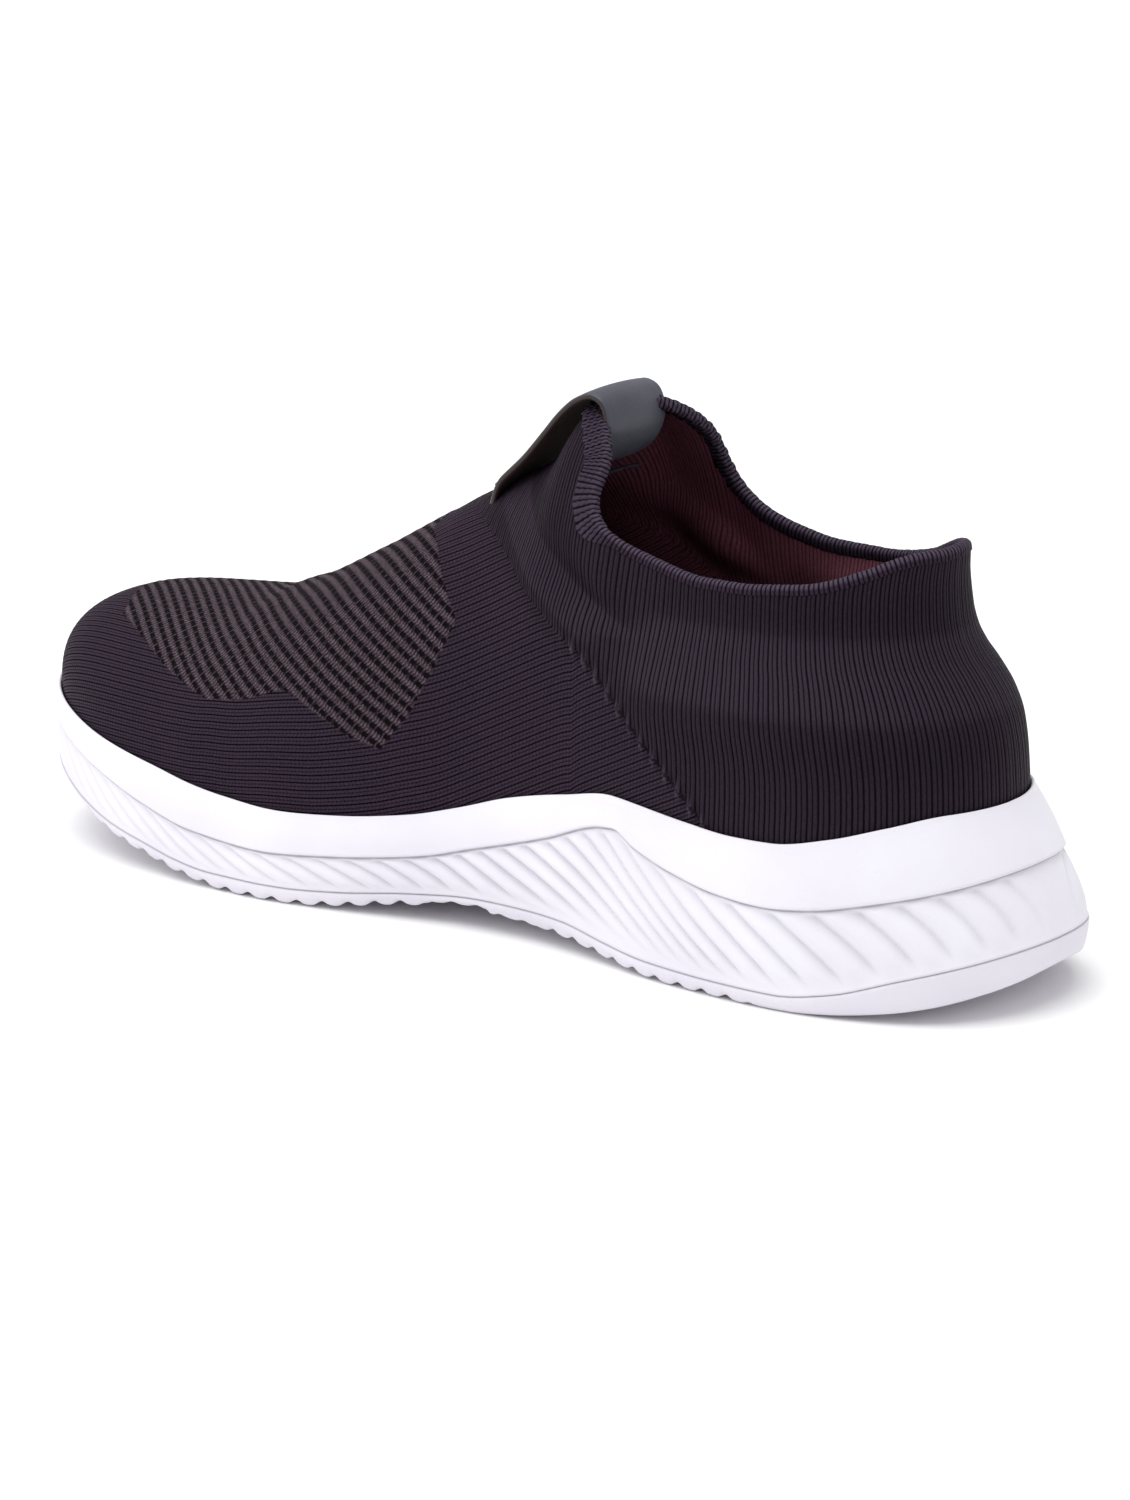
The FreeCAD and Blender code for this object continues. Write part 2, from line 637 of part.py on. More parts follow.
t1 = tack("tack_1", 17.5, 105.1, 0)
t2 = tack("tack_2", 14.4, 106.5, 0)
t3 = tack("tack_3", -20.5, 111.5, 0)
tacks = doc.addObject("Part::MultiFuse", "pull_tab_stitching")
tacks.Shapes = [t1, t2, t3]
piece("pull_tab_stitching", tacks)

# sub-parts move from the last's own frame to the footprint-centred frame
for o in subparts.values():
    o.setExpression("Placement.Base.x", "-Params.origin_x * 1 mm")
    o.setExpression("Placement.Base.y", "-Params.origin_y * 1 mm")
doc.recompute()

# --- checks ----------------------------------------------------------------------------
bad = []
lo = [1e9] * 3
hi = [-1e9] * 3
for o in doc.Objects:
    st = [str(s) for s in o.State]
    if "Invalid" in st or "Error" in st:
        bad.append("%s state %s" % (o.Label, st))
for nm, o in subparts.items():
    s = o.Shape
    if s.isNull() or not s.isValid() or s.Volume <= 0 or not s.Solids:
        bad.append("%s shape null, invalid or empty" % nm)
    bb = s.optimalBoundingBox()
    lo = [min(a, b) for a, b in zip(lo, (bb.XMin, bb.YMin, bb.ZMin))]
    hi = [max(a, b) for a, b in zip(hi, (bb.XMax, bb.YMax, bb.ZMax))]
    print("%-24s solids %d vol %9.1f  x %7.1f %7.1f  y %6.1f %6.1f  z %6.1f %6.1f faces %d" % (
        nm, len(s.Solids), s.Volume, bb.XMin, bb.XMax, bb.YMin, bb.YMax, bb.ZMin, bb.ZMax, len(s.Faces)))
print("box", ["%.2f" % v for v in lo], ["%.2f" % v for v in hi])
if bad:
    raise RuntimeError("; ".join(bad))

os.makedirs("parts", exist_ok=True)
for nm, o in subparts.items():
    o.Shape.exportStep("parts/%s.step" % nm)
print("wrote", len(subparts), "parts")
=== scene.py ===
import json
import math
import bpy
import numpy as np
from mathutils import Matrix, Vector

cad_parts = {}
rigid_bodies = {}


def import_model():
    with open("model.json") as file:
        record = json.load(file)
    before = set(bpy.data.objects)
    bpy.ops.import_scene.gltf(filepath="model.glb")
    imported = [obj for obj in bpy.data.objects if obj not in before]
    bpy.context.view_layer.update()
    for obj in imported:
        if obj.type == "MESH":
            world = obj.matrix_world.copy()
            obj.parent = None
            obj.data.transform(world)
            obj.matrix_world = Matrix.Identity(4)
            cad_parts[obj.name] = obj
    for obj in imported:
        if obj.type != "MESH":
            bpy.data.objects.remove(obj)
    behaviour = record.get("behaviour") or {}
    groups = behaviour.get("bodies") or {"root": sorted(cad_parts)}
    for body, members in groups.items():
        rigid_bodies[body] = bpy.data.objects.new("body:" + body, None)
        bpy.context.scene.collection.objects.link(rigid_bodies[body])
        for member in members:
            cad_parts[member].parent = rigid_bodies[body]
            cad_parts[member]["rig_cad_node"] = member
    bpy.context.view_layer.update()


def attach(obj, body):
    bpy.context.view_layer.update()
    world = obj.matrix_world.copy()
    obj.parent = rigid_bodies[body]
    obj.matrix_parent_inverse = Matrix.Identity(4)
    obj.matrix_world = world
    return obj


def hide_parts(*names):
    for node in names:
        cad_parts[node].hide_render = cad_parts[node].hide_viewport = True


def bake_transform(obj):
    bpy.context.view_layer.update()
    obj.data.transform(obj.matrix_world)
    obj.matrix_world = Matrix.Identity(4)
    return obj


# Slip-on knit running shoe: the looks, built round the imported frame.
# Shape tables are in the last's own frame, in millimetres, as in the CAD source.

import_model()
OX, OY = 1.055, -1.75


def to_row(p):
    p = np.asarray(p, float)
    return (p - np.array([OX, OY, 0.0])) * 0.001


def row_pt(x, y, z):
    return ((x - OX) * 0.001, (y - OY) * 0.001, z * 0.001)


# --- profile curves ----------------------------------------------------------------


def pchip(rows):
    xs = np.array([r[0] for r in rows], float)
    ys = np.array([r[1] for r in rows], float)
    h = np.diff(xs)
    d = np.diff(ys) / h
    m = np.zeros(len(xs))
    m[0], m[-1] = d[0], d[-1]
    for i in range(1, len(xs) - 1):
        if d[i - 1] * d[i] > 0:
            w1, w2 = 2 * h[i] + h[i - 1], h[i] + 2 * h[i - 1]
            m[i] = (w1 + w2) / (w1 / d[i - 1] + w2 / d[i])

    def f(x):
        x = np.clip(np.asarray(x, float), xs[0], xs[-1])
        i = np.clip(np.searchsorted(xs, x, side="right") - 1, 0, len(xs) - 2)
        u = (x - xs[i]) / h[i]
        return ((1 + 2 * u) * (1 - u) ** 2 * ys[i] + u * (1 - u) ** 2 * h[i] * m[i]
                + u * u * (3 - 2 * u) * ys[i + 1] + u * u * (u - 1) * h[i] * m[i + 1])
    return f


tab = pchip
yc = tab([(-148, 3.0), (-90, 3.0), (-40, 1.2), (0, 0.0), (60, -0.5), (110, 0.0), (148, 1.5)])
wn = tab([(-148, 38), (-85, 38), (-60, 37.2), (-40, 34.8), (-20, 33.0), (0, 33.4), (20, 37.4), (40, 42), (60, 44.6),
          (78, 44.6), (95, 42.8), (112, 40.4), (128, 37.4), (140, 34.8), (151, 32)])
wf = tab([(-148, 37.5), (-85, 37.5), (-60, 38), (-40, 38.6), (-20, 39.6), (0, 41.2), (20, 43.6), (40, 46), (60, 47.2),
          (78, 46.8), (95, 44.4), (112, 41.2), (128, 36.8), (140, 33.0), (151, 30)])
zf = tab([(-148, 48), (-128, 47.4), (-118, 45), (-106, 41.6), (-92, 39), (-81, 38.8), (-67, 39.8), (-52, 41.2),
          (-44, 41.6), (-29, 38.8), (-11, 34.7), (4, 29.8), (17, 26.5), (34, 24.2), (52, 23.2), (70, 24.4), (92, 28.0),
          (113, 31.8), (130, 35.6), (148, 39.5)])
zr0 = tab([(-148, 130.5), (-20.5, 130.5), (-18, 129.5), (-15, 126), (-12, 121), (-9, 116.8), (-4, 112.8), (3, 108.8),
           (11, 104.5), (19, 100.5), (25, 97), (32, 93), (38, 89.5), (44, 86), (50, 82.8), (56, 79.5), (63, 75.8),
           (69, 73), (75, 71), (82, 68), (95, 65.6), (111, 64.8), (131, 65.5), (151, 66)])
nn = tab([(-148, 3.0), (-48, 3.0), (-34, 3.5), (-18, 3.4), (0, 2.6), (60, 2.4), (148, 2.5)])
tp = tab([(-148, 0.14), (-48, 0.14), (-34, 0.05), (-20, 0.05), (60, 0.0), (148, 0.0)])
xb = tab([(0, -134), (45, -134), (49, -133.8), (57, -133.2), (64, -132), (70, -129.6), (76, -125.6), (80, -122.4),
          (85, -119.8), (90, -118.6), (98, -118), (106, -118.5), (140, -119)])
XQ, LQ, PQ, LH = 94.0, 56.0, 2.9, 48.0
XT = XQ + LQ
zb = tab([(-134, 12), (-131, 9.5), (-124, 6), (-113, 2.8), (-103, 0.8), (-92, 0), (-65, 0), (-50, 1.0), (-30, 3.2),
          (-8, 4.5), (15, 3.6), (35, 1.0), (48, 0.0), (66, 0.0), (84, 2.0), (95, 4), (108, 6.5), (122, 10.5),
          (135, 14.5), (152, 19)])
zo = tab([(-134, 17.5), (-129, 15), (-120, 11), (-108, 6), (-95, 3.8), (-80, 3.8), (-60, 4.2), (-45, 5.5), (-30, 7.5),
          (-8, 8), (15, 6.8), (35, 4.8), (50, 4.0), (72, 4.2), (84, 5.6), (95, 7.6), (108, 10.2), (122, 14.2),
          (135, 18.4), (152, 23)])
zg = tab([(-134, 34), (-128, 31.5), (-116, 28), (-102, 25), (-92, 24.2), (-80, 25), (-66, 27.8), (-55, 31.5),
          (-48.5, 34.6), (-44, 34.2), (-25, 27.5), (-5, 21.5), (13, 16.8), (35, 14), (56, 12.6), (76, 14), (95, 18),
          (108, 22), (118, 25), (130, 28.5), (152, 33)])
og = tab([(-134, 9.5), (-128, 8.5), (-110, 6), (-90, 5.2), (-60, 5), (-20, 4.2), (20, 4), (60, 4), (100, 3.4),
          (130, 2.4), (152, 2)])
oo = tab([(-134, 16), (-128, 14), (-110, 8.2), (-90, 6), (-60, 5.2), (-20, 3.6), (20, 3.4), (60, 3.8), (100, 3.0),
          (130, 1.8), (152, 1)])
ob = tab([(-134, 15), (-128, 12.6), (-110, 6.8), (-90, 5), (-60, 4.4), (-20, 2.4), (20, 2.4), (60, 3), (100, 1.6),
          (130, -0.4), (152, -1.2)])
zbed = tab([(-134, 27), (-90, 26), (-60, 25), (-20, 20.5), (20, 16), (50, 14.2), (75, 15.2), (100, 19), (125, 24.5),
            (152, 31)])
heelz = tab([(-152, 12.5), (-149, 11), (-146, 9.0), (-140, 6.6), (-132, 4.2), (-122, 2.2), (-110, 0.7), (-98, 0.0),
             (-92, 0.0)])
RIM = {1: [(-118.4, 106.2), (-114.3, 105.7), (-109.8, 104.3), (-105.8, 102.4), (-99.5, 100.1), (-93, 98.6),
           (-84.2, 97.6), (-77.8, 97.1), (-67.2, 97.0), (-55.7, 98.3), (-46.1, 100.1), (-38.9, 102.7), (-33.8, 105.6),
           (-31.2, 109.0), (-30.6, 112.5), (-31.0, 116.4), (-30.8, 119.3), (-29.0, 122.6), (-25.6, 126.4),
           (-22.0, 129.2), (-19.5, 130.0)],
       -1: [(-118.4, 106.2), (-112, 104.6), (-104, 101.4), (-97, 98.2), (-89.1, 96.2), (-81, 95.3), (-65.8, 95.4),
            (-54.8, 97.4), (-47.5, 99.9), (-41.2, 103.0), (-37.3, 106.4), (-35.6, 110.6), (-34.8, 115.0), (-34.4, 119.0),
            (-33.0, 123.2), (-29.6, 127.0), (-24.6, 129.4), (-19.5, 130.0)]}


def sstep(a, b, x):
    t = np.clip((np.asarray(x, float) - a) / (b - a), 0, 1)
    return t * t * (3 - 2 * t)


def gauss(x, c, s):
    return np.exp(-((np.asarray(x, float) - c) / s) ** 2)


def width(x, side):
    return wn(x) if side > 0 else wf(x)


def swell(x, z, side):
    """soft shape of the worn-in knit over the last, added to the half width"""
    out = 3.1 * gauss(z, 67, 9.5) * sstep(-34, -62, x) - 1.7 * gauss(z, 87, 7) * sstep(-40, -62, x)
    # the fold where the ribs turn up into the collar: a crest with a hollow behind it
    cx = -26 + (z - 81) / 0.72
    cx = np.where(z < 81, -26 + (z - 81) / 0.95, cx)
    on = sstep(70, 80, z) * sstep(119, 108, z)
    q = (x - cx) * 0.6
    out = out + 1.5 * gauss(q, 0.5, 3.6) * on - 2.9 * gauss(q, -8.5, 4.2) * on * sstep(79, 88, z)
    if side < 0:
        out = out + 2.6 * sstep(112, 122, z) * gauss(x, -32, 12)
    return out


def w2(x, z, side):
    """half width squared; runs on below zero past the outline, so it has a slope everywhere"""
    t = np.clip((z - zf(x)) / (zr0(x) - zf(x)), 0, None)
    q = np.clip((x - XQ) / LQ, 0, None)
    e = 1 - t ** nn(x) - q ** PQ
    s = (x - xb(z)) / LH
    r = np.where(s < 1, 1 - np.abs(1 - np.minimum(s, 1)) ** 2.15, 1.0)
    base = (width(x, side) * (1 - tp(x) * t)) ** 2 * e * r
    rel = np.clip(r, 0, 1) * np.clip(e, 0, 1)
    return base * (1 + rel * 2 * swell(x, z, side) / 34.0)


def half(x, z, side):
    return np.sqrt(np.clip(w2(x, z, side), 0, None))


def grad_normal(x, y, z, side):
    h = 0.05
    gx = -(w2(x + h, z, side) - w2(x - h, z, side)) / (2 * h)
    gz = -(w2(x, z + h, side) - w2(x, z - h, side)) / (2 * h)
    dy = (yc(x + h) - yc(x - h)) / (2 * h)
    v = y - yc(x)
    n = np.stack([gx - 2 * v * dy, 2 * v, gz], -1)
    r = np.linalg.norm(n, axis=-1, keepdims=True)
    return n / np.maximum(r, 1e-9)


def fract(v):
    return v - np.floor(v)


# --- mesh helpers ----------------------------------------------------------------------


def clean_faces(q):
    """quads with repeated corners become triangles or go"""
    eq = np.stack([q[:, 0] == q[:, 1], q[:, 1] == q[:, 2], q[:, 2] == q[:, 3], q[:, 3] == q[:, 0],
                   q[:, 0] == q[:, 2], q[:, 1] == q[:, 3]], 1)
    good = q[~eq.any(1)]
    tri = []
    one = (eq[:, :4].sum(1) == 1) & ~eq[:, 4] & ~eq[:, 5]
    for k in range(4):
        s = q[one & eq[:, k]]
        if len(s):
            tri.append(s[:, [j for j in range(4) if j != k]])
    return good, (np.concatenate(tri) if tri else np.zeros((0, 3), int))


def vertex_normals(v, quads, tris):
    n = np.zeros_like(v)
    if len(quads):
        c = np.cross(v[quads[:, 2]] - v[quads[:, 0]], v[quads[:, 3]] - v[quads[:, 1]])
        for k in range(4):
            for a in range(3):
                n[:, a] += np.bincount(quads[:, k], c[:, a], len(v))
    if len(tris):
        c = np.cross(v[tris[:, 1]] - v[tris[:, 0]], v[tris[:, 2]] - v[tris[:, 0]])
        for k in range(3):
            for a in range(3):
                n[:, a] += np.bincount(tris[:, k], c[:, a], len(v))
    r = np.linalg.norm(n, axis=1, keepdims=True)
    return n / np.maximum(r, 1e-12)


def weld(v, faces, attrs):
    key = np.round(v * 2000).astype(np.int64)
    _, first, inv = np.unique(key, axis=0, return_index=True, return_inverse=True)
    inv = inv.reshape(-1)
    return v[first], inv[faces], {k: a[first] for k, a in attrs.items()}


def build(name, v, quads, tris, attrs=None, normals=None, mat=None):
    """mesh object from points in the last's frame, millimetres"""
    used = np.unique(np.concatenate([quads.reshape(-1), tris.reshape(-1)]).astype(int))
    remap = np.full(len(v), -1, int)
    remap[used] = np.arange(len(used))
    quads, tris = remap[quads.astype(int)], remap[tris.astype(int)]
    pts = to_row(v[used])
    me = bpy.data.meshes.new(name)
    me.vertices.add(len(pts))
    me.vertices.foreach_set("co", pts.astype(np.float32).reshape(-1))
    loops = np.concatenate([quads.reshape(-1), tris.reshape(-1)]).astype(np.int32)
    me.loops.add(len(loops))
    me.loops.foreach_set("vertex_index", loops)
    total = np.concatenate([np.full(len(quads), 4), np.full(len(tris), 3)]).astype(np.int32)
    start = np.concatenate([[0], np.cumsum(total)[:-1]]).astype(np.int32)
    me.polygons.add(len(total))
    me.polygons.foreach_set("loop_start", start)
    me.polygons.foreach_set("loop_total", total)
    me.polygons.foreach_set("use_smooth", np.ones(len(total), bool))
    me.update(calc_edges=True)
    me.validate()
    for k, a in (attrs or {}).items():
        at = me.attributes.new(k, "FLOAT", "POINT")
        at.data.foreach_set("value", a[used].astype(np.float32))
    if normals is not None:
        me.normals_split_custom_set_from_vertices(normals[used].astype(float).tolist())
    ob = bpy.data.objects.new(name, me)
    bpy.context.scene.collection.objects.link(ob)
    if mat is not None:
        me.materials.append(mat)
    return ob


def grid_faces(nu, nv, close_u=False, flip=False):
    i = np.arange(nu if close_u else nu - 1)
    j = np.arange(nv - 1)
    I, J = np.meshgrid(i, j, indexing="ij")
    a = I * nv + J
    b = ((I + 1) % nu) * nv + J
    q = np.stack([a, b, b + 1, a + 1], -1).reshape(-1, 4)
    return q[:, ::-1] if flip else q


# --- materials -----------------------------------------------------------------------------


class Mat:
    def __init__(self, name):
        self.m = bpy.data.materials.new(name)
        self.m.use_nodes = True
        self.t = self.m.node_tree
        self.t.nodes.clear()
        self.out = self.t.nodes.new("ShaderNodeOutputMaterial")
        self.b = self.t.nodes.new("ShaderNodeBsdfPrincipled")
        self.t.links.new(self.b.outputs[0], self.out.inputs[0])

    def put(self, sock, v):
        if isinstance(v, bpy.types.NodeSocket):
            self.t.links.new(v, sock)
        elif isinstance(v, (tuple, list)) and len(v) == 3 and sock.type == "RGBA":
            sock.default_value = (*v, 1.0)
        else:
            sock.default_value = v

    def attr(self, name):
        n = self.t.nodes.new("ShaderNodeAttribute")
        n.attribute_type = "GEOMETRY"
        n.attribute_name = name
        return n.outputs["Fac"]

    def math(self, op, a, b=None, c=None, clamp=False):
        n = self.t.nodes.new("ShaderNodeMath")
        n.operation = op
        n.use_clamp = clamp
        for s, v in zip(n.inputs, (a, b, c)):
            if v is not None:
                self.put(s, v)
        return n.outputs[0]

    def add(self, a, b):
        return self.math("ADD", a, b)

    def sub(self, a, b):
        return self.math("SUBTRACT", a, b)

    def mul(self, a, b):
        return self.math("MULTIPLY", a, b)

    def mixf(self, f, a, b):
        n = self.t.nodes.new("ShaderNodeMix")
        n.data_type = "FLOAT"
        self.put(n.inputs[0], f)
        self.put(n.inputs[2], a)
        self.put(n.inputs[3], b)
        return n.outputs[0]

    def mixc(self, f, a, b, kind="MIX"):
        n = self.t.nodes.new("ShaderNodeMix")
        n.data_type = "RGBA"
        n.blend_type = kind
        self.put(n.inputs[0], f)
        self.put(n.inputs[6], a)
        self.put(n.inputs[7], b)
        return n.outputs[2]

    def step(self, v, a, b, x=0.0, y=1.0):
        n = self.t.nodes.new("ShaderNodeMapRange")
        n.interpolation_type = "SMOOTHSTEP"
        self.put(n.inputs[0], v)
        for k, w in zip((1, 2, 3, 4), (a, b, x, y)):
            n.inputs[k].default_value = w
        return n.outputs[0]

    def place(self):
        if not hasattr(self, "_tc"):
            n = self.t.nodes.new("ShaderNodeTexCoord")
            self._tc = n.outputs["Object"]
        return self._tc

    def noise(self, scale, detail=3.0, rough=0.5, vec=None):
        n = self.t.nodes.new("ShaderNodeTexNoise")
        n.inputs["Scale"].default_value = scale
        n.inputs["Detail"].default_value = detail
        n.inputs["Roughness"].default_value = rough
        self.t.links.new(vec if vec is not None else self.place(), n.inputs["Vector"])
        return n.outputs[0]

    def voronoi(self, scale, vec=None, feature="F1"):
        n = self.t.nodes.new("ShaderNodeTexVoronoi")
        n.feature = feature
        n.inputs["Scale"].default_value = scale
        self.t.links.new(vec if vec is not None else self.place(), n.inputs["Vector"])
        return n.outputs["Distance"]

    def combine(self, x, y, z=0.0):
        n = self.t.nodes.new("ShaderNodeCombineXYZ")
        for s, v in zip(n.inputs, (x, y, z)):
            self.put(s, v)
        return n.outputs[0]

    def bump(self, h, dist, strength=1.0):
        n = self.t.nodes.new("ShaderNodeBump")
        n.inputs["Strength"].default_value = strength
        n.inputs["Distance"].default_value = dist
        self.t.links.new(h, n.inputs["Height"])
        self.t.links.new(n.outputs[0], self.b.inputs["Normal"])

    def color(self, v):
        self.put(self.b.inputs["Base Color"], v)

    def rough(self, v):
        self.put(self.b.inputs["Roughness"], v)

    def set(self, **k):
        for a, v in k.items():
            self.b.inputs[a.replace("_", " ")].default_value = v


def lin(r, g, b):
    f = lambda c: (c / 255 / 12.92) if c / 255 <= 0.04045 else ((c / 255 + 0.055) / 1.055) ** 2.4
    return (f(r), f(g), f(b))


def knit_nodes(m, N, L, chev=0.8, course=1.05, split=0.45, valley=0.12, low=0.30):
    """height 0..1 of a knitted wale: N counts wales, L is millimetres along them"""
    f = m.math("FRACT", N)
    c = m.math("ABSOLUTE", m.sub(m.mul(f, 2.0), 1.0))          # 0 mid wale, 1 between wales
    g = m.math("ABSOLUTE", m.sub(m.mul(c, 2.0), 1.0))          # 0 mid leg, 1 at either edge of a leg
    leg = m.math("SQRT", m.math("MAXIMUM", m.sub(1.0, m.math("POWER", g, 2.2)), 0.0))
    gap = m.mixf(m.step(c, 0.35, 0.65), split, 0.0)            # the valley between wales is the deeper one
    ph = m.math("FRACT", m.add(m.mul(L, 1.0 / course), m.mul(c, chev)))
    k = m.math("ABSOLUTE", m.sub(m.mul(ph, 2.0), 1.0))
    st = m.sub(1.0, m.mul(k, k))
    body = m.mul(m.math("MAXIMUM", leg, gap), m.mixf(low, 1.0, st))
    return m.mul(body, m.step(c, 0.72, 1.0, 1.0, valley))


def make_knit(name, dark, light, panel=True, deep=0.55, rimlike=False):
    m = Mat(name)
    N, Pc, D = m.attr("wale"), m.attr("pc"), m.attr("dc")
    wh = m.attr("wh")
    wob = m.mul(m.sub(m.noise(700, 2), 0.5), 0.5)
    Nn = m.add(N, m.mul(wob, 0.16))
    hf = knit_nodes(m, Nn, m.add(Pc, wob), chev=0.55, split=0.62)
    hh = knit_nodes(m, Nn, m.add(D, wob), chev=0.9, course=1.3, split=0.30, valley=0.6,
                    low=0.05)
    H = m.mixf(wh, hf, hh)
    if panel:
        pn = m.attr("panel")
        rho, tau = m.attr("rho"), m.attr("tau")
        f = m.math("FRACT", m.add(m.mul(rho, 1 / 2.65), m.mul(wob, 0.22)))
        c = m.math("ABSOLUTE", m.sub(m.mul(f, 2.0), 1.0))
        t = m.math("FRACT", m.add(m.mul(tau, 1 / 2.9), m.mul(wob, 0.30)))
        k = m.math("ABSOLUTE", m.sub(m.mul(t, 2.0), 1.0))
        rope = m.sub(1.0, m.mul(c, c))
        bridge = m.mul(m.sub(1.0, m.math("POWER", m.sub(1.0, k), 1.4)), 0.68)
        tw = m.math("SINE", m.mul(m.add(tau, m.mul(c, 0.55)), 2 * math.pi / 1.07))
        hole = m.mul(m.step(c, 0.50, 1.0), m.step(k, 0.15, 0.85, 1.0, 0.0))
        hp = m.mul(m.math("MAXIMUM", rope, bridge), m.add(0.78, m.mul(tw, 0.22)))
        hp = m.sub(hp, m.mul(hole, 0.6))
        pm = m.step(pn, -0.35, 0.35, 1.0, 0.0)
        H = m.mixf(pm, H, hp)
    # painted shade and painted highlight: the knit height sets the colour, dark in the valleys between wales and loops
    # and light on the loop crests
    crest_light_valley_shade = m.math("POWER", m.step(H, 0.12, 1.0), 1.5)
    patch = m.noise(38, 3)
    yarn = m.noise(1900, 2)
    ca = m.mixc(m.step(patch, 0.3, 0.7), light, tuple(v * k for v, k in zip(light, (1.10, 0.95, 1.02))))
    ca = m.mixc(m.mul(m.step(yarn, 0.3, 0.7), 0.55), ca, tuple(v * 0.45 for v in light))
    if panel:
        ca = m.mixc(pm, ca, m.mixc(m.step(yarn, 0.25, 0.75), lin(104, 88, 99), lin(50, 38, 46)))
    # the valley colour is painted shade and the crest colour a painted highlight
    col = m.mixc(crest_light_valley_shade, dark, ca)
    if panel:
        # painted highlight where the knit faces up on the swell and painted shade where it faces down
        painted_slope_light = m.attr("shade")
        col = m.mixc(m.math("MAXIMUM", m.mul(painted_slope_light, crest_light_valley_shade), 0.0), col, lin(112, 100, 118))
        col = m.mixc(m.mul(m.math("MAXIMUM", m.mul(painted_slope_light, -1.0), 0.0), 1.0), col, dark)
        # painted highlight on the raised loops of the fashioned line and painted shade in its sunk line
        painted_gore_light = m.attr("gore")
        col = m.mixc(m.math("MAXIMUM", painted_gore_light, 0.0), col, lin(92, 80, 98))
        col = m.mixc(m.mul(m.math("MAXIMUM", m.mul(painted_gore_light, -1.0), 0.0), 0.8), col, dark)
    if rimlike:
        # painted highlight: the stitch crests along the rolled top edge are painted paler
        col = m.mixc(m.mul(m.mul(m.attr("edge"), crest_light_valley_shade), 0.45), col, lin(104, 92, 112))
        col = m.mixc(0.2, col, dark)
    elif panel:
        col = m.mixc(m.mul(wh, 0.45), col, dark)
    if panel:
        # painted shade: the panel's mesh holes are filled with a near-black colour for their depth
        col = m.mixc(m.mul(m.mul(pm, hole), 0.7), col, lin(18, 9, 14))
    m.color(col)
    m.rough(m.mixf(crest_light_valley_shade, 0.95, 0.55))
    m.set(Specular_IOR_Level=0.09, Sheen_Weight=0.0, Sheen_Roughness=0.4)
    m.bump(m.add(H, m.mul(yarn, 0.15)), 0.00040 * deep / 0.55, 1.0)
    return m.m


M = {}
M["knit"] = make_knit("knit_yarn", lin(4, 1, 5), lin(55, 43, 59))
M["lining"] = make_knit("lining_knit", lin(66, 30, 40), lin(106, 64, 76), panel=False, deep=0.22)
M["rim"] = make_knit("rim_knit", lin(4, 1, 5), lin(54, 41, 58), panel=False, deep=0.8, rimlike=True)


def foam(name, base, shade, scale=2200, bump=0.00006, rough=0.55):
    m = Mat(name)
    n = m.noise(scale, 4, 0.6)
    big = m.noise(26, 3)
    sp = m.step(m.voronoi(420), 0.02, 0.10)
    col = m.mixc(m.step(big, 0.25, 0.75), base, shade)
    # painted shade: the groove attribute darkens the groove line, the flute hollows, the tread cuts and the recessed
    # joint between midsole and outsole
    groove = m.attr("groove")
    col = m.mixc(m.mul(groove, 0.75), col, tuple(v * 0.52 for v in shade))
    col = m.mixc(m.mul(m.sub(1.0, sp), 0.22), col, tuple(v * 0.6 for v in shade))
    m.color(col)
    m.rough(m.mixf(n, rough - 0.06, rough + 0.10))
    m.set(Specular_IOR_Level=0.35)
    m.bump(m.add(n, m.mul(sp, 0.5)), bump, 1.0)
    return m.m


M["midsole"] = foam("midsole_foam", lin(236, 234, 241), lin(229, 226, 236))
M["outsole"] = foam("outsole_rubber", lin(232, 229, 237), lin(222, 218, 230), scale=1500, bump=0.00004, rough=0.42)


def strap_mat():
    m = Mat("strap_synthetic")
    g = m.voronoi(2100)
    n = m.noise(60, 4)
    fine = m.noise(2600, 3)
    inner = m.attr("under")
    top = m.mixc(m.step(n, 0.3, 0.7), lin(66, 68, 80), lin(84, 85, 97))
    low = m.mixc(fine, lin(44, 33, 30), lin(26, 18, 17))
    m.color(m.mixc(m.step(inner, 0.08, 0.30), m.mixc(m.mul(m.step(g, 0.0, 0.5), 0.25), top, lin(50, 50, 60)), low))
    m.rough(m.mixf(n, 0.42, 0.56))
    m.set(Specular_IOR_Level=0.45)
    m.bump(m.add(g, m.mul(fine, 0.4)), 0.00006, 1.0)
    return m.m


M["strap"] = strap_mat()


def strap_under():
    m = Mat("strap_backing")
    n = m.noise(1800, 3)
    g = m.noise(40, 3)
    m.color(m.mixc(n, m.mixc(g, lin(66, 52, 49), lin(50, 39, 37)), lin(46, 32, 30)))
    m.rough(m.mixf(n, 0.9, 1.0))
    m.set(Specular_IOR_Level=0.08)
    m.bump(n, 0.00008, 1.0)
    return m.m


M["strap_under"] = strap_under()


def cloth_mat(name, a, b, pitch=0.0012, bump=0.00012):
    m = Mat(name)
    p = m.place()
    sep = m.t.nodes.new("ShaderNodeSeparateXYZ")
    m.t.links.new(p, sep.inputs[0])
    u = m.math("SINE", m.mul(sep.outputs[0], 2 * math.pi / pitch))
    v = m.math("SINE", m.mul(sep.outputs[1], 2 * math.pi / pitch))
    w = m.add(m.mul(m.mul(u, v), 0.5), 0.5)
    n = m.noise(1500, 3)
    m.color(m.mixc(m.add(m.mul(w, 0.6), m.mul(n, 0.4)), a, b))
    m.rough(m.mixf(w, 0.75, 0.92))
    m.set(Specular_IOR_Level=0.25)
    m.bump(m.add(w, m.mul(n, 0.4)), bump, 1.0)
    return m.m


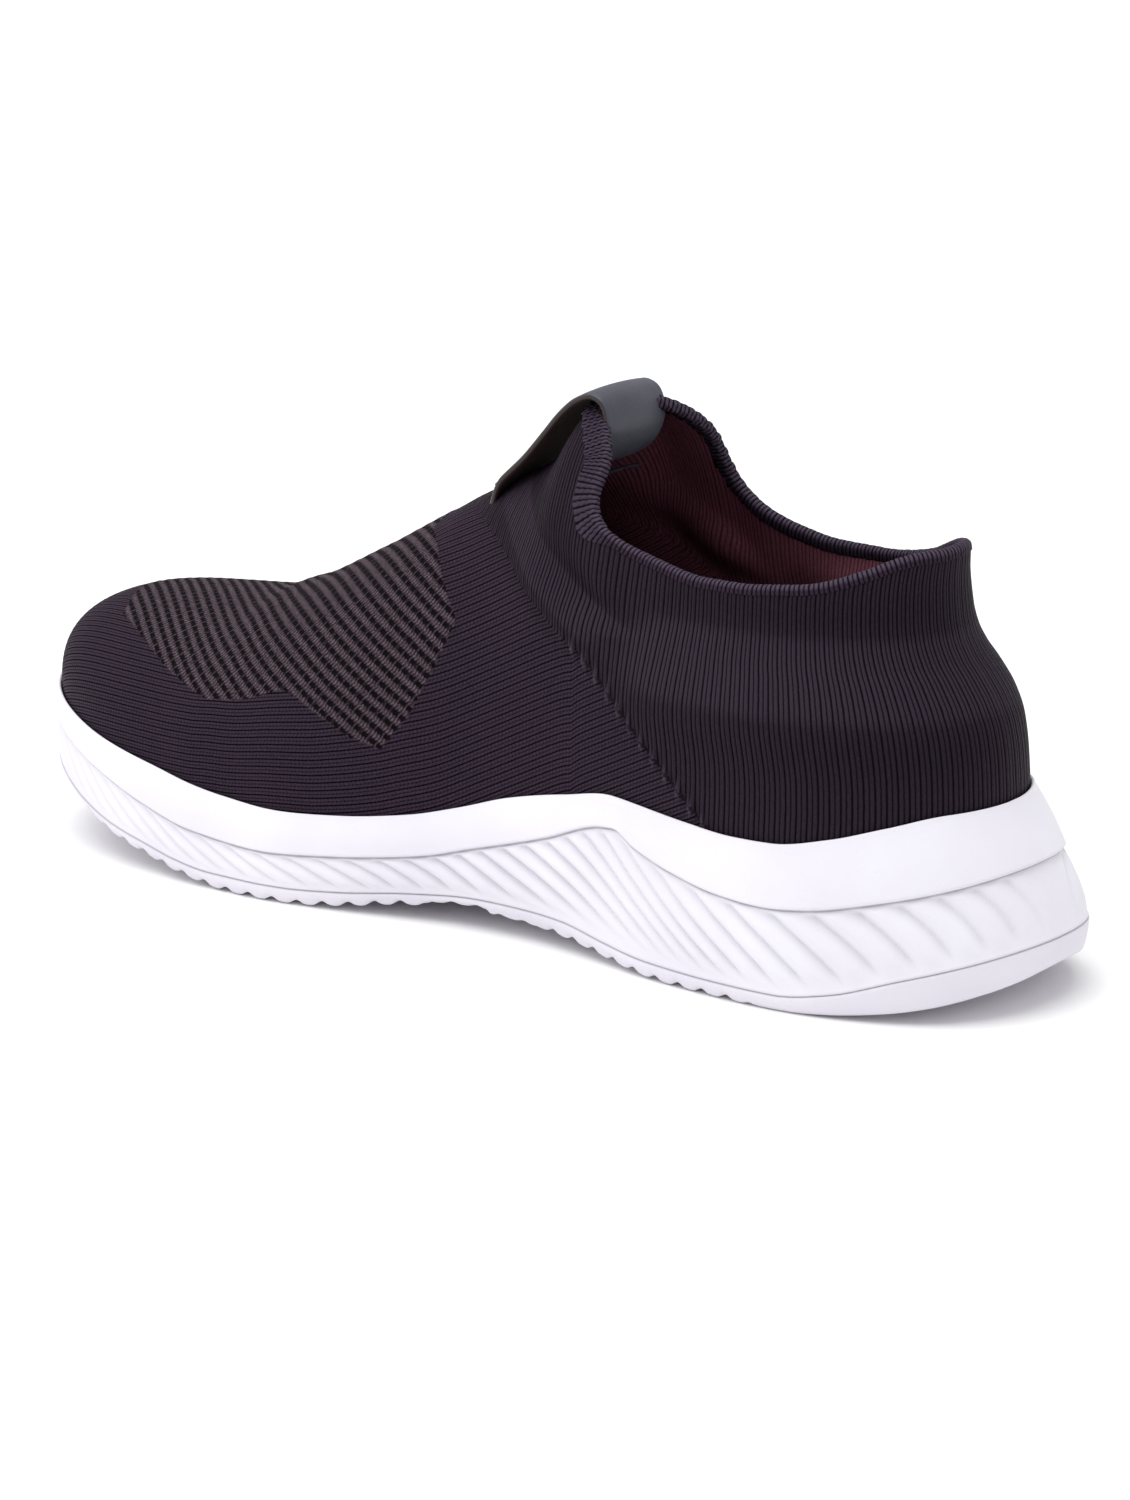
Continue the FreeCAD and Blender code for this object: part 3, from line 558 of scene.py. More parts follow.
M["cover"] = cloth_mat("insole_cloth", lin(26, 20, 26), lin(46, 38, 46))
M["board"] = cloth_mat("board_felt", lin(196, 190, 178), lin(222, 217, 206), 0.0018)
M["stiff"] = cloth_mat("stiffener_fibre", lin(172, 166, 156), lin(206, 200, 188), 0.0022)
M["foam_in"] = foam("insole_foam", lin(58, 60, 70), lin(44, 45, 54), scale=1400, bump=0.0001, rough=0.8)


def thread_mat(name, a, b):
    m = Mat(name)
    L = m.attr("along")
    tw = m.math("SINE", m.mul(L, 2 * math.pi / 0.55))
    n = m.noise(3000, 2)
    m.color(m.mixc(m.add(m.mul(tw, 0.3), m.mul(n, 0.7)), a, b))
    m.rough(m.mixf(n, 0.5, 0.75))
    m.set(Specular_IOR_Level=0.4)
    m.bump(m.add(m.mul(tw, 0.5), n), 0.00008, 1.0)
    return m.m


M["thread"] = thread_mat("thread_dark", lin(22, 18, 26), lin(58, 52, 66))
M["thread_w"] = thread_mat("thread_white", lin(196, 192, 188), lin(232, 230, 226))

# --- upper: one grid over the last, rows down the wall and columns along it -------------------
ROW = 0.4


def columns():
    """columns heel to toe: kind, parameter, course position p, rounding factor E"""
    xi = np.linspace(0, 1, 4001) ** 2
    z0 = 62.0
    x = float(xb(z0)) + xi * (-56 - float(xb(z0)))
    y = 0.5 * (half(x, np.full_like(x, z0), 1) + half(x, np.full_like(x, z0), -1))
    s = np.concatenate([[0], np.cumsum(np.hypot(np.diff(x), np.diff(y)))])
    p = 26 + (s[-1] - s)
    pg = np.linspace(-20, p[0], 4000)
    pitch = 2.82 + (2.68 - 2.82) * sstep(45, 65, pg)
    Ng = np.concatenate([[0], np.cumsum(0.5 * (1 / pitch[1:] + 1 / pitch[:-1]) * np.diff(pg))])
    Ng -= np.interp(0, pg, Ng)
    nh = lambda q: np.where(q < -20, np.interp(-20, pg, Ng) + (q + 20) / 2.82, np.interp(q, pg, Ng))
    cols = [("h", 0.0, float(p[0]), 1.0)]
    top = math.floor(float(nh(p[0])) * 4)
    low = math.ceil(float(nh(-12.0)) * 4)
    for k in range(top, low - 1, -1):
        q = float(np.interp(k / 4.0, Ng, pg))
        if p[0] - q < 0.15:
            continue
        if q > 26:
            cols.append(("h", float(np.interp(-q, -p, xi)), q, 1.0))
        else:
            cols.append(("x", -30.0 - q, q, 1.0))
    last = cols[-1][1]
    n = int(round((XQ - last) / 0.7))
    for k in range(1, n + 1):
        xx = last + (XQ - last) * k / n
        cols.append(("x", xx, -30.0 - xx, 1.0))
    al = np.linspace(0, 1, 20001) ** 1.6 * math.pi / 2
    xx = XQ + LQ * (np.sin(al) ** 2) ** (1 / PQ)
    rise = (zr0(xx) - zf(xx)) * (np.cos(al) ** 2) ** (1 / nn(xx))
    wide = 0.7 * wn(xx) * np.cos(al)
    s = np.concatenate([[0], np.cumsum(np.sqrt(np.diff(xx) ** 2 + (np.diff(rise) ** 2 + np.diff(wide) ** 2)))])
    n = int(round(s[-1] / 0.66))
    for k in range(1, n + 1):
        a = float(np.interp(s[-1] * k / n, s, al)) if k < n else math.pi / 2
        c2 = math.cos(a) ** 2 if k < n else 0.0
        cols.append(("x", XQ + LQ * (math.sin(a) ** 2) ** (1 / PQ), None, c2))
    return cols, nh


COLS, NH = columns()
TH = np.linspace(0, math.pi / 2, 700)
ZTOP = 116.0


def column_curve(kind, par, E, side):
    """dense curve up one column: parameter, x, y offset, z, arc length"""
    if kind == "h":
        ze = float(zf(-134 + 78 * par))
        z = ze + (ZTOP - ze) * np.linspace(0, 1, 700)
        x = xb(z) + par * (-56 - xb(z))
        w = half(x, z, side)
        if par == 0:
            w = w * 0
        prm = z
    else:
        n = float(nn(par))
        t = (E * np.sin(TH) ** 2) ** (1 / n)
        z = float(zf(par)) + (float(zr0(par)) - float(zf(par))) * t
        x = np.full_like(z, par)
        w = float(width(par, side)) * (1 - float(tp(par)) * t) * math.sqrt(E) * np.cos(TH)
        rel = np.clip(E * np.cos(TH) ** 2, 0, 1)
        w = w * np.sqrt(np.clip(1 + rel * 2 * swell(x, z, side) / 34.0, 0, None))
        prm = TH
    a = np.concatenate([[0], np.cumsum(np.sqrt(np.diff(x) ** 2 + np.diff(w) ** 2 + np.diff(z) ** 2))])
    return prm, x, w, z, a


XC = np.array([(-134 + 78 * c[1]) if c[0] == "h" else c[1] for c in COLS])
curves = {s: [column_curve(c[0], c[1], c[3], s) for c in COLS] for s in (1, -1)}
i0 = int(np.argmin(np.abs(XC)))
CC = float(zf(XC[i0])) + 0.5 * (curves[1][i0][4][-1] + curves[-1][i0][4][-1])
NC = len(COLS)
DMIN, DMAX = -18.0, 118.0
LEAN = 0.5
DR = np.arange(int(DMIN / ROW), int(DMAX / ROW) + 1) * ROW
NR = len(DR)
SKIRT = 9.0
P_ = np.array([c[2] if c[2] is not None else -30.0 - x for c, x in zip(COLS, XC)])


def upper_grid(side):
    pts = np.zeros((NC, NR, 3))
    A = np.zeros((NC, NR))
    T = np.zeros(NC)
    S = np.zeros(NC)
    S[:] = [c[4][-1] for c in curves[side]]
    flat = CC - zf(XC)
    i10 = int(np.argmin(np.abs(XC - 10)))
    off = np.where(XC >= 10, S - flat, S[i10] - flat[i10] + LEAN * (10 - np.clip(XC, -30, 10)))
    kern = np.exp(-(np.arange(-12, 13) / 6.0) ** 2)
    sm = np.convolve(np.pad(off, 12, mode="edge"), kern / kern.sum(), "valid")
    off = off + (sm - off) * sstep(26, 12, XC)
    T[:] = flat + off
    for i, (c, x0) in enumerate(zip(COLS, XC)):
        prm, x, w, z, a = curves[side][i]
        at = T[i] - DR
        ac = np.clip(at, 0, S[i])
        pts[i, :, 0] = np.interp(ac, a, x)
        pts[i, :, 2] = np.interp(ac, a, z)
        pts[i, :, 1] = np.interp(ac, a, w)
        low = at < 0
        pts[i, low, 2] = float(z[0]) + at[low]
        A[i] = at
    x = pts[:, :, 0]
    pts[:, :, 1] = yc(x) + side * pts[:, :, 1]
    return pts, A, T, S


def rim_side(side):
    """rim line of one side: dense x, z from heel centre to tongue centre"""
    r = np.array(RIM[side])
    s = np.concatenate([[0], np.cumsum(np.hypot(np.diff(r[:, 0]), np.diff(r[:, 1])))])
    fx, fz = pchip(list(zip(s, r[:, 0]))), pchip(list(zip(s, r[:, 1])))
    u = (1 - np.cos(np.linspace(0, math.pi, 6001))) / 2 * s[-1]
    x, z = fx(u), fz(u)
    z[0] = 106.2
    x[0] = float(xb(106.2))
    x = np.maximum(x, xb(z))
    x[-1] = -19.5
    z[-1] = 130.0
    return x, z


RIMXZ = {1: rim_side(1), -1: rim_side(-1)}


def rim_distance(x, z, side):
    """signed distance in side view from the rim: positive below it"""
    RX, RZ = RIMXZ[side]
    r = np.stack([RX[::20], RZ[::20]], 1)
    r = np.concatenate([[[-170.0, r[0, 1]]], r, [[r[-1, 0] + 14, r[-1, 1] + 1.0]]])
    p = np.stack([x.reshape(-1), z.reshape(-1)], 1)
    best = np.full(len(p), 1e9)
    sign = np.ones(len(p))
    for a, b in zip(r[:-1], r[1:]):
        d = b - a
        L2 = (d ** 2).sum()
        if L2 < 1e-12:
            continue
        t = np.clip(((p - a) @ d) / L2, 0, 1)
        q = p - a - t[:, None] * d
        dist = np.hypot(q[:, 0], q[:, 1])
        m = dist < best
        cr = d[0] * (p[:, 1] - a[1]) - d[1] * (p[:, 0] - a[0])
        best = np.where(m, dist, best)
        sign = np.where(m, np.where(cr <= 0, 1.0, -1.0), sign)
    return (best * sign).reshape(x.shape)


# mesh panel outline as x, z on the wall, turned to x, d
PANEL_XZ = [(130.5, None), (129, 62), (121, 59), (96, 52), (77, 47), (65, 49), (54, 53), (48, 51), (33, 44), (25, 42),
            (18, 51), (13, 62), (8, 75), (20, 90), (27, 93), (29, None)]


def wall_d(x, z):
    i = int(np.argmin(np.abs(XC - x) + (np.array([c[0] == "h" for c in COLS]) * 1e3)))
    prm, cx, w, cz, a = curves[1][i]
    k = np.interp(z, cz, a)
    return float(a[-1] - k)


PANEL = np.array([(x, -12.0 if z is None else wall_d(x, z)) for x, z in PANEL_XZ])


def poly_sd(px, py, poly):
    """signed distance to a polygon, negative inside"""
    d = np.full(px.shape, 1e9)
    inside = np.zeros(px.shape, bool)
    n = len(poly)
    for i in range(n):
        a, b = poly[i], poly[(i + 1) % n]
        e = b - a
        t = np.clip(((px - a[0]) * e[0] + (py - a[1]) * e[1]) / (e ** 2).sum(), 0, 1)
        d = np.minimum(d, np.hypot(px - a[0] - t * e[0], py - a[1] - t * e[1]))
        c = (a[1] > py) != (b[1] > py)
        xs = (b[0] - a[0]) * (py - a[1]) / np.where(b[1] == a[1], 1e-9, b[1] - a[1]) + a[0]
        inside ^= c & (px < xs)
    return np.where(inside, -d, d)


SM = 0.5 * (np.array([c[4][-1] for c in curves[1]]) + np.array([c[4][-1] for c in curves[-1]]))


def fields(side, pts, T, S):
    Pg = np.broadcast_to(P_[:, None], (NC, NR))
    Dg = np.maximum(np.broadcast_to(DR[None, :], (NC, NR)), (T - S)[:, None])
    x = pts[:, :, 0]
    o30 = float((T - (CC - zf(XC)))[int(np.argmin(np.abs(XC + 30)))])
    # wales close up toward the throat, so that they meet the ribs along the crest of the fold
    a = np.where(Pg > 0, NH(Pg), Pg * 0.58 - 0.22 * 3.0 * (1 - np.exp(np.minimum(Pg, 0) / 3.0)) * -1)
    # toward the toe the ribs close up and lean to the feather edge
    fan = 0.45 * sstep(8, 60, XC) * (np.interp(20, XC, SM) - SM)
    b = (Dg - 51.2 - o30 + fan[:, None] + LEAN * np.clip(Pg, 0, None)) / (2.1 - 0.38 * sstep(5, 90, XC))[:, None]
    k = 0.15 + 1.5 * sstep(4, -14, Pg)
    root = np.sqrt((a - b) ** 2 + k ** 2)
    # below the fold a fashioned line joins ribs and wales; above it they run into each other
    G = (51.2 + o30 + 0.86 * Pg) - Dg
    hard = Pg > 0
    N = np.where(hard, np.where(G > 0, a, b), 0.5 * (a + b + root - k * np.exp(-np.abs(a - b))))
    wh = np.where(hard, sstep(-0.4, 0.4, G), 0.5 * (1 + (a - b) / root))
    pn = poly_sd(x, Dg, PANEL)
    s = side * Dg
    rho = (x + s) / math.sqrt(2)
    tau = (-x + s) / math.sqrt(2)
    gd = G * 0.76
    gore = np.exp(-(gd / 1.5) ** 2) * sstep(-6, 1, Pg) * sstep(52, 46, Pg)
    knot = gore * (0.5 + 0.5 * np.cos(2 * math.pi * Pg / 3.8)) ** 2
    return N, wh, pn, rho, tau, Pg, Dg, gore, knot


def rib(N):
    f = fract(N)
    return np.sqrt(np.clip(1 - np.abs(2 * f - 1) ** 2.2, 0, 1))


def make_upper():
    allv, allq, side_of = [], [], []
    at = {k: [] for k in ("wale", "wh", "panel", "rho", "tau", "pc", "dc", "gore", "shade")}
    inner = []
    base = 0
    for side in (1, -1):
        pts, A, T, S = upper_grid(side)
        N, wh, pn, rho, tau, Pg, Dg, gore, knot = fields(side, pts, T, S)
        x, y, z = pts[:, :, 0], pts[:, :, 1], pts[:, :, 2]
        nrm = grad_normal(x, y, z, side)
        low = A < 0
        nrm[low, 2] = 0
        nrm /= np.maximum(np.linalg.norm(nrm, axis=-1, keepdims=True), 1e-9)
        ridge_pt = A >= S[:, None] - 1e-6
        nrm[ridge_pt, 1] = 0
        nrm[0, :, 1] = 0
        nrm[-1, :, 1] = 0
        nrm /= np.maximum(np.linalg.norm(nrm, axis=-1, keepdims=True), 1e-9)
        rd = rim_distance(x, z, side)
        pm = sstep(0.5, -0.5, pn)
        hN = rib(N) * (0.13 + 0.05 * wh)
        fp, ft = fract(rho / 2.65), fract(tau / 2.9)
        rope = np.clip(1 - np.abs(2 * fp - 1) ** 2, 0, 1)
        bridge = np.clip(1 - np.abs(2 * ft - 1) ** 2, 0, 1)
        hP = 0.34 * np.maximum(rope, 0.75 * bridge) + 0.04
        disp = hN * (1 - pm) + hP * pm + 0.75 * knot - 0.30 * gore * (1 - knot)
        # painted shade and highlight: the slope of the swell sets a colour shift, lighter where the knit faces up and
        # darker where it faces down
        dz = (swell(x, z + 1.0, side) - swell(x, z - 1.0, side)) / 2
        shade = np.clip(-dz * 0.8, -0.22, 0.14) * (1 - pm)
        # colour weight for the fashioned line: positive on the raised loops for a painted highlight, negative in the
        # sunk line for painted shade
        gore = knot * 0.8 - gore * (1 - knot) * 0.5
        fade = sstep(-0.5, 2.0, A)
        near_seam = np.clip(S[:, None] - A, 0, None)
        disp = disp * fade * (0.35 + 0.65 * np.where(T[:, None] > 0, 1, 1))
        out = pts + nrm * disp[..., None]
        # the row and column shared with the other side carry the same height there
        out[ridge_pt] = pts[ridge_pt] + nrm[ridge_pt] * 0.12
        out[0] = pts[0] + nrm[0] * 0.12
        out[-1] = pts[-1] + nrm[-1] * 0.0
        for arr in (out,):
            arr[ridge_pt, 1] = yc(arr[ridge_pt, 0])
        out[0, :, 1] = yc(out[0, :, 0])
        out[-1, :, 1] = yc(out[-1, :, 0])
        q = grid_faces(NC, NR, flip=(side < 0))
        i, j = q // NR, q % NR
        ok = (A[i, j] > -SKIRT).all(1) & ((rd[i, j] > 0.85).all(1) | (x[i, j] > -14).any(1))
        ok &= ~((A[i, j] > S[i] + ROW * 1.01).all(1))
        heelcut = np.array([c[0] == "h" for c in COLS])[i].any(1) & (A[i, j] > S[i] - 0.01).any(1)
        ok &= ~heelcut
        q = q[ok]
        allv.append(out.reshape(-1, 3))
        allq.append(q + base)
        side_of.append(np.full(len(q), side))
        for k, v in (("wale", N), ("wh", wh), ("panel", pn), ("rho", rho), ("tau", tau), ("pc", Pg), ("dc", Dg),
                     ("gore", gore), ("shade", shade)):
            at[k].append(np.array(v, float).reshape(-1))
        inner.append((pts, nrm, A, S, rd, N, wh, Pg, Dg))
        base += NC * NR
    v = np.concatenate(allv)
    q = np.concatenate(allq)
    sd = np.concatenate(side_of)
    at = {k: np.concatenate(a) for k, a in at.items()}
    v2, q2, at2 = weld(v, q, at)
    good, tris = clean_faces(q2)
    n = vertex_normals(v2, good, tris)
    out = []
    for side, nm in ((1, "knit_medial"), (-1, "knit_lateral")):
        qs = q2[sd == side]
        g, t = clean_faces(qs)
        out.append(build(nm, v2, g, t, at2, n, M["knit"]))
    return out, inner


(KM, KL), INNER = make_upper()


def make_inner():
    """inner face of the knit and the padded heel lining"""
    res = []
    av, aq, at = [], [], {k: [] for k in ("wale", "wh", "pc", "dc")}
    pads, base = [], 0
    for side, (pts, nrm, A, S, rd, N, wh, Pg, Dg) in zip((1, -1), INNER):
        ci = np.unique(np.concatenate([np.arange(0, NC, 3), [NC - 1]]))
        ri = np.arange(0, NR, 3)
        P0, n0 = pts[np.ix_(ci, ri)], nrm[np.ix_(ci, ri)]
        x, z = P0[..., 0], P0[..., 2]
        a, r = A[np.ix_(ci, ri)], rd[np.ix_(ci, ri)]
        pad = sstep(-54, -74, x) * sstep(94, 84, z + 0.12 * (x + 84))
        off = 2.5 + 3.7 * pad + 2.1 * sstep(104, 112, x)
        off = off + 2.3 * np.exp(-((x + 97) / 17.0) ** 2 - ((z - 65) / 9.0) ** 2)     # over the counter's wings
        q3 = P0 - n0 * off[..., None]
        lim = yc(q3[..., 0])
        q3[..., 1] = np.where((q3[..., 1] - lim) * side < 0, lim, q3[..., 1])
        s0 = S[ci][:, None]
        rp = a >= s0 - 1e-6
        q3[rp, 1] = yc(q3[rp, 0])
        q3[0, :, 1] = yc(q3[0, :, 0])
        q3[-1, :, 1] = yc(q3[-1, :, 0])
        floor = zbed(q3[..., 0]) + 1.6
        q3[..., 2] = np.maximum(q3[..., 2], floor)
        f = grid_faces(len(ci), len(ri), flip=(side > 0))
        i, j = f // len(ri), f % len(ri)
        ok = ((r[i, j] > 2.0).all(1) | (x[i, j] > -14).any(1)) & (a[i, j] > -14).all(1)
        ok &= ~((a[i, j] > s0[i, 0] + ROW * 3.01).all(1))
        hc = np.array([COLS[c][0] == "h" for c in ci])[i].any(1) & (a[i, j] > s0[i, 0] - 0.01).any(1)
        f = f[ok & ~hc]
        av.append(q3.reshape(-1, 3))
        aq.append(f + base)
        base += len(ci) * len(ri)
        for k, v in (("wale", N), ("wh", wh), ("pc", Pg), ("dc", Dg)):
            at[k].append(np.array(v)[np.ix_(ci, ri)].reshape(-1))
    v, q = np.concatenate(av), np.concatenate(aq)
    at = {k: np.concatenate(a) for k, a in at.items()}
    v, q, at = weld(v, q, at)
    g, t = clean_faces(q)
    n = vertex_normals(v, g, t)
    cx = lambda f: v[f][:, :, 0].mean(1)
    front = build("knit_inner_face", v, g[cx(g) >= -54], t[cx(t) >= -54], at, n, M["lining"])
    rear = build("heel_lining_pad", v, g[cx(g) < -54], t[cx(t) < -54], at, n, M["lining"])
    return front, rear


INF, PADL = make_inner()


def make_rim():
    loop = []
    for side in (1, -1):
        RX, RZ = RIMXZ[side]
        w = half(RX, RZ, side)
        w[0] = w[-1] = 0
        y = yc(RX) + side * w
        line = np.stack([RX, y, RZ], 1)
        loop.append(line if side > 0 else line[::-1])
    pts = np.concatenate([loop[0], loop[1][1:-1]])
    seg = np.linalg.norm(np.diff(np.concatenate([pts, pts[:1]]), axis=0), axis=1)
    s = np.concatenate([[0], np.cumsum(seg)])
    total = s[-1]
    n = int(round(total / 0.42))
    n -= n % 5
    u = np.arange(n) * total / n
    closed = np.concatenate([pts, pts[:1]])
    P = np.stack([np.interp(u, s, closed[:, k]) for k in range(3)], 1)
    for _ in range(10):
        P = 0.5 * P + 0.25 * (np.roll(P, 1, 0) + np.roll(P, -1, 0))
    sd = np.where(P[:, 1] >= yc(P[:, 0]), 1, -1)
    Nn = np.zeros_like(P)
    for side in (1, -1):
        m = sd == side
        Nn[m] = grad_normal(P[m, 0], P[m, 1], P[m, 2], side)
    for _ in range(8):
        Nn = Nn + np.roll(Nn, 1, 0) + np.roll(Nn, -1, 0)
        Nn /= np.linalg.norm(Nn, axis=1, keepdims=True)
    T = np.roll(P, -1, 0) - np.roll(P, 1, 0)
    T /= np.linalg.norm(T, axis=1, keepdims=True)
    Nn -= (Nn * T).sum(1, keepdims=True) * T
    Nn /= np.linalg.norm(Nn, axis=1, keepdims=True)
    D = np.cross(Nn, T)
    k = int(np.argmin(np.abs(P[:, 0] + 80) + (P[:, 1] < 0) * 1e3))
    if D[k, 2] > 0:
        D = -D
    for _ in range(6):
        D = D + np.roll(D, 1, 0) + np.roll(D, -1, 0)
        D /= np.linalg.norm(D, axis=1, keepdims=True)
    prof = []
    for k in range(22):
        f = k / 21.0
        prof.append((1.5 + 1.0 * (1 - f), 0.24 if k > 1 else (-0.35, 0.12)[k]))
    R = 1.5
    for a in np.linspace(0, math.pi, 11)[1:-1]:
        prof.append((1.5 - 1.5 * math.sin(a), -1.26 + R * math.cos(a)))
    prof += [(1.7, -2.76), (2.4, -2.80), (3.1, -2.72), (3.8, -2.3)]
    prof = np.array(prof)
    tn = np.gradient(prof, axis=0)
    pn = np.stack([tn[:, 1], -tn[:, 0]], 1)
    pn /= np.linalg.norm(pn, axis=1, keepdims=True)
    if pn[4, 1] < 0:
        pn = -pn
    pl = np.concatenate([[0], np.cumsum(np.linalg.norm(np.diff(prof, axis=0), axis=1))])
    pitch = total / round(total / 2.3)
    NW = u / pitch
    # up the sides of the tongue the turned edge is wider and its stitches are coarser
    tongue = sstep(-42, -34, P[:, 0]) * sstep(101, 107, P[:, 2]) * sstep(2, 9, np.abs(P[:, 1] - yc(P[:, 0])))
    skirt = np.clip(prof[:, 0] - 1.5, 0, None) * (prof[:, 1] > -0.6)
    bump = 0.16 * rib(NW)[:, None] * np.ones(len(prof))[None, :]
    reach = skirt[None, :] * (4.0 * tongue[:, None])
    run = pl[None, :] - reach
    stitch = (0.5 + 0.5 * np.cos(2 * math.pi * (run / 1.7 + 0.5 * np.floor(NW)[:, None])))
    bump = bump * (0.75 - 0.30 * tongue[:, None]) + (0.06 + 0.40 * tongue[:, None]) * (stitch - 0.3) * rib(NW)[:, None]
    # the band lies a little unevenly, as a hand-turned edge does
    wav = 0.16 * np.sin(u / total * 2 * math.pi * 9 + 0.6) + 0.10 * np.sin(u / total * 2 * math.pi * 17)
    bump[:, [0, -1]] = 0
    pd = prof[None, :, 0] + reach + pn[None, :, 0] * bump + wav[:, None] * 0.5
    po = prof[None, :, 1] + pn[None, :, 1] * bump
    v = P[:, None, :] + D[:, None, :] * pd[..., None] + Nn[:, None, :] * po[..., None]
    nv = len(prof)
    q = grid_faces(n, nv, close_u=True)
    v = v.reshape(-1, 3)
    good, tris = clean_faces(q)
    nr = vertex_normals(v, good, tris)
    chk = (nr.reshape(n, nv, 3)[:, 5] * Nn).sum(1).mean()
    if chk < 0:
        good = good[:, ::-1]
    # mask for the painted highlight along the rolled top of the band and up the tongue's sides
    edge = sstep(1.7, 0.7, prof[:, 0]) * sstep(-3.0, -2.0, prof[:, 1])
    edge = np.maximum(edge[None, :] * np.ones((n, 1)), 0.55 * tongue[:, None] * (prof[None, :, 1] > -1.2))
    at = {"wale": np.repeat(NW, nv), "wh": np.ones(n * nv), "pc": run.reshape(-1), "dc": run.reshape(-1) * 0.62,
          "edge": edge.reshape(-1)}
    return build("collar_band", v, good, tris, at, None, M["rim"]), (P, Nn, D)


RIMO, RIMF = make_rim()

# --- sole ------------------------------------------------------------------------------------------


def outline(side, step=0.6):
    """feather line in plan: x, y, outward normal, running length"""
    f = np.linspace(0, 1, 8001)
    x = -133.9 + (XT + 133.9) * (1 - np.cos(math.pi * f)) / 2
    t0 = np.clip((x - XQ) / LQ, 0, 1)
    s0 = np.clip((x + 134.0) / LH, 0, 1)
    r = np.sqrt(np.clip(1 - (1 - s0) ** 2.15, 0, 1))
    w = width(x, side) * np.sqrt(np.clip(1 - t0 ** PQ, 0, 1)) * r
    w[0] = w[-1] = 0
    y = yc(x) + side * w
    s = np.concatenate([[0], np.cumsum(np.hypot(np.diff(x), np.diff(y)))])
    n = int(round(s[-1] / step))
    u = np.linspace(0, s[-1], n + 1)
    x, y = np.interp(u, s, x), np.interp(u, s, y)
    k = 5
    xs, ys = x.copy(), y.copy()
    for _ in range(6):
        xs[1:-1] = 0.5 * xs[1:-1] + 0.25 * (xs[2:] + xs[:-2])
        ys[1:-1] = 0.5 * ys[1:-1] + 0.25 * (ys[2:] + ys[:-2])
    tx, ty = np.gradient(xs), np.gradient(ys)
    nx, ny = -ty * side, tx * side
    r = np.hypot(nx, ny)
    nx, ny = nx / r, ny / r
    for _ in range(12):
        nx[1:-1] = 0.5 * nx[1:-1] + 0.25 * (nx[2:] + nx[:-2])
        ny[1:-1] = 0.5 * ny[1:-1] + 0.25 * (ny[2:] + ny[:-2])
    nx[0], ny[0], nx[-1], ny[-1] = -1, 0, 1, 0
    r = np.hypot(nx, ny)
    return x, y, nx / r, ny / r, u


def outline_matched(side, step):
    """both halves of the feather line with the same number of points"""
    a, b = outline(1, step), outline(-1, step)
    if side > 0:
        return a
    f, g = np.linspace(0, 1, len(a[0])), np.linspace(0, 1, len(b[0]))
    x, y, nx, ny, u = (np.interp(f, g, c) for c in b)
    ln = np.hypot(nx, ny)
    return x, y, nx / ln, ny / ln, u


def loft(name, rows_fn, mat, step=0.6, attr_names=("groove",), outline=outline):
    """closed solid from a section profile carried round both halves of the feather line"""
    av, aq, at, base = [], [], {k: [] for k in attr_names}, 0
    for side in (1, -1):
        x, y, nx, ny, u = outline(side, step)
        secs, ats = rows_fn(side, x, y, nx, ny, u)
        n, m = secs.shape[:2]
        secs[0, :, 1] = yc(secs[0, :, 0])
        secs[-1, :, 1] = yc(secs[-1, :, 0])
        av.append(secs.reshape(-1, 3))
        aq.append(grid_faces(n, m, flip=(side < 0)) + base)
        for k in attr_names:
            at[k].append(ats[k].reshape(-1))
        base += n * m
    v, q = np.concatenate(av), np.concatenate(aq)
    at = {k: np.concatenate(a) for k, a in at.items()}
    v, q, at = weld(v, q, at)
    g, t = clean_faces(q)
    vol = 0.0
    a, b, c, d = (v[g[:, k]] for k in range(4))
    vol = (a * np.cross(b, c)).sum() + (a * np.cross(c, d)).sum()
    if vol < 0:
        g, t = g[:, ::-1], t[:, ::-1]
    return build(name, v, g, t, at, None, mat)


PITCH = pchip([(-240, 5.0), (-170, 5.4), (-140, 7.0), (-115, 9.0), (-90, 11.0), (-66, 10.5), (-52, 7.6), (-40, 6.8),
               (0, 6.9), (30, 8.0), (60, 9.0), (100, 8.5), (130, 6.5), (220, 6.0)])
_xg = np.linspace(-260, 260, 5201)
_kg = np.concatenate([[0], np.cumsum(0.5 * (1 / PITCH(_xg[1:]) + 1 / PITCH(_xg[:-1])) * np.diff(_xg))])
SLANT = pchip([(-200, 0.25), (-150, 0.35), (-125, 0.7), (-105, 1.05), (-80, 1.45), (-60, 1.35), (-40, 1.15), (0, 1.15),
               (30, 1.7), (70, 2.1), (110, 1.4), (150, 0.6), (220, 0.4)])
AMP = pchip([(-220, 0.5), (-150, 0.75), (-120, 1.15), (-95, 1.25), (-75, 1.05), (-60, 0.8), (-48, 0.95), (-35, 1.35),
             (-5, 1.3), (20, 1.0), (50, 0.75), (90, 0.6), (130, 0.5), (200, 0.4)])


def along(x, u):
    """x in the waist, running length round the heel and toe"""
    i = int(np.argmin(np.abs(x + 95)))
    j = int(np.argmin(np.abs(x - 105)))
    out = x.copy()
    out[:i] = x[i] - (u[i] - u[:i])
    out[j:] = x[j] + (u[j:] - u[j])
    return out


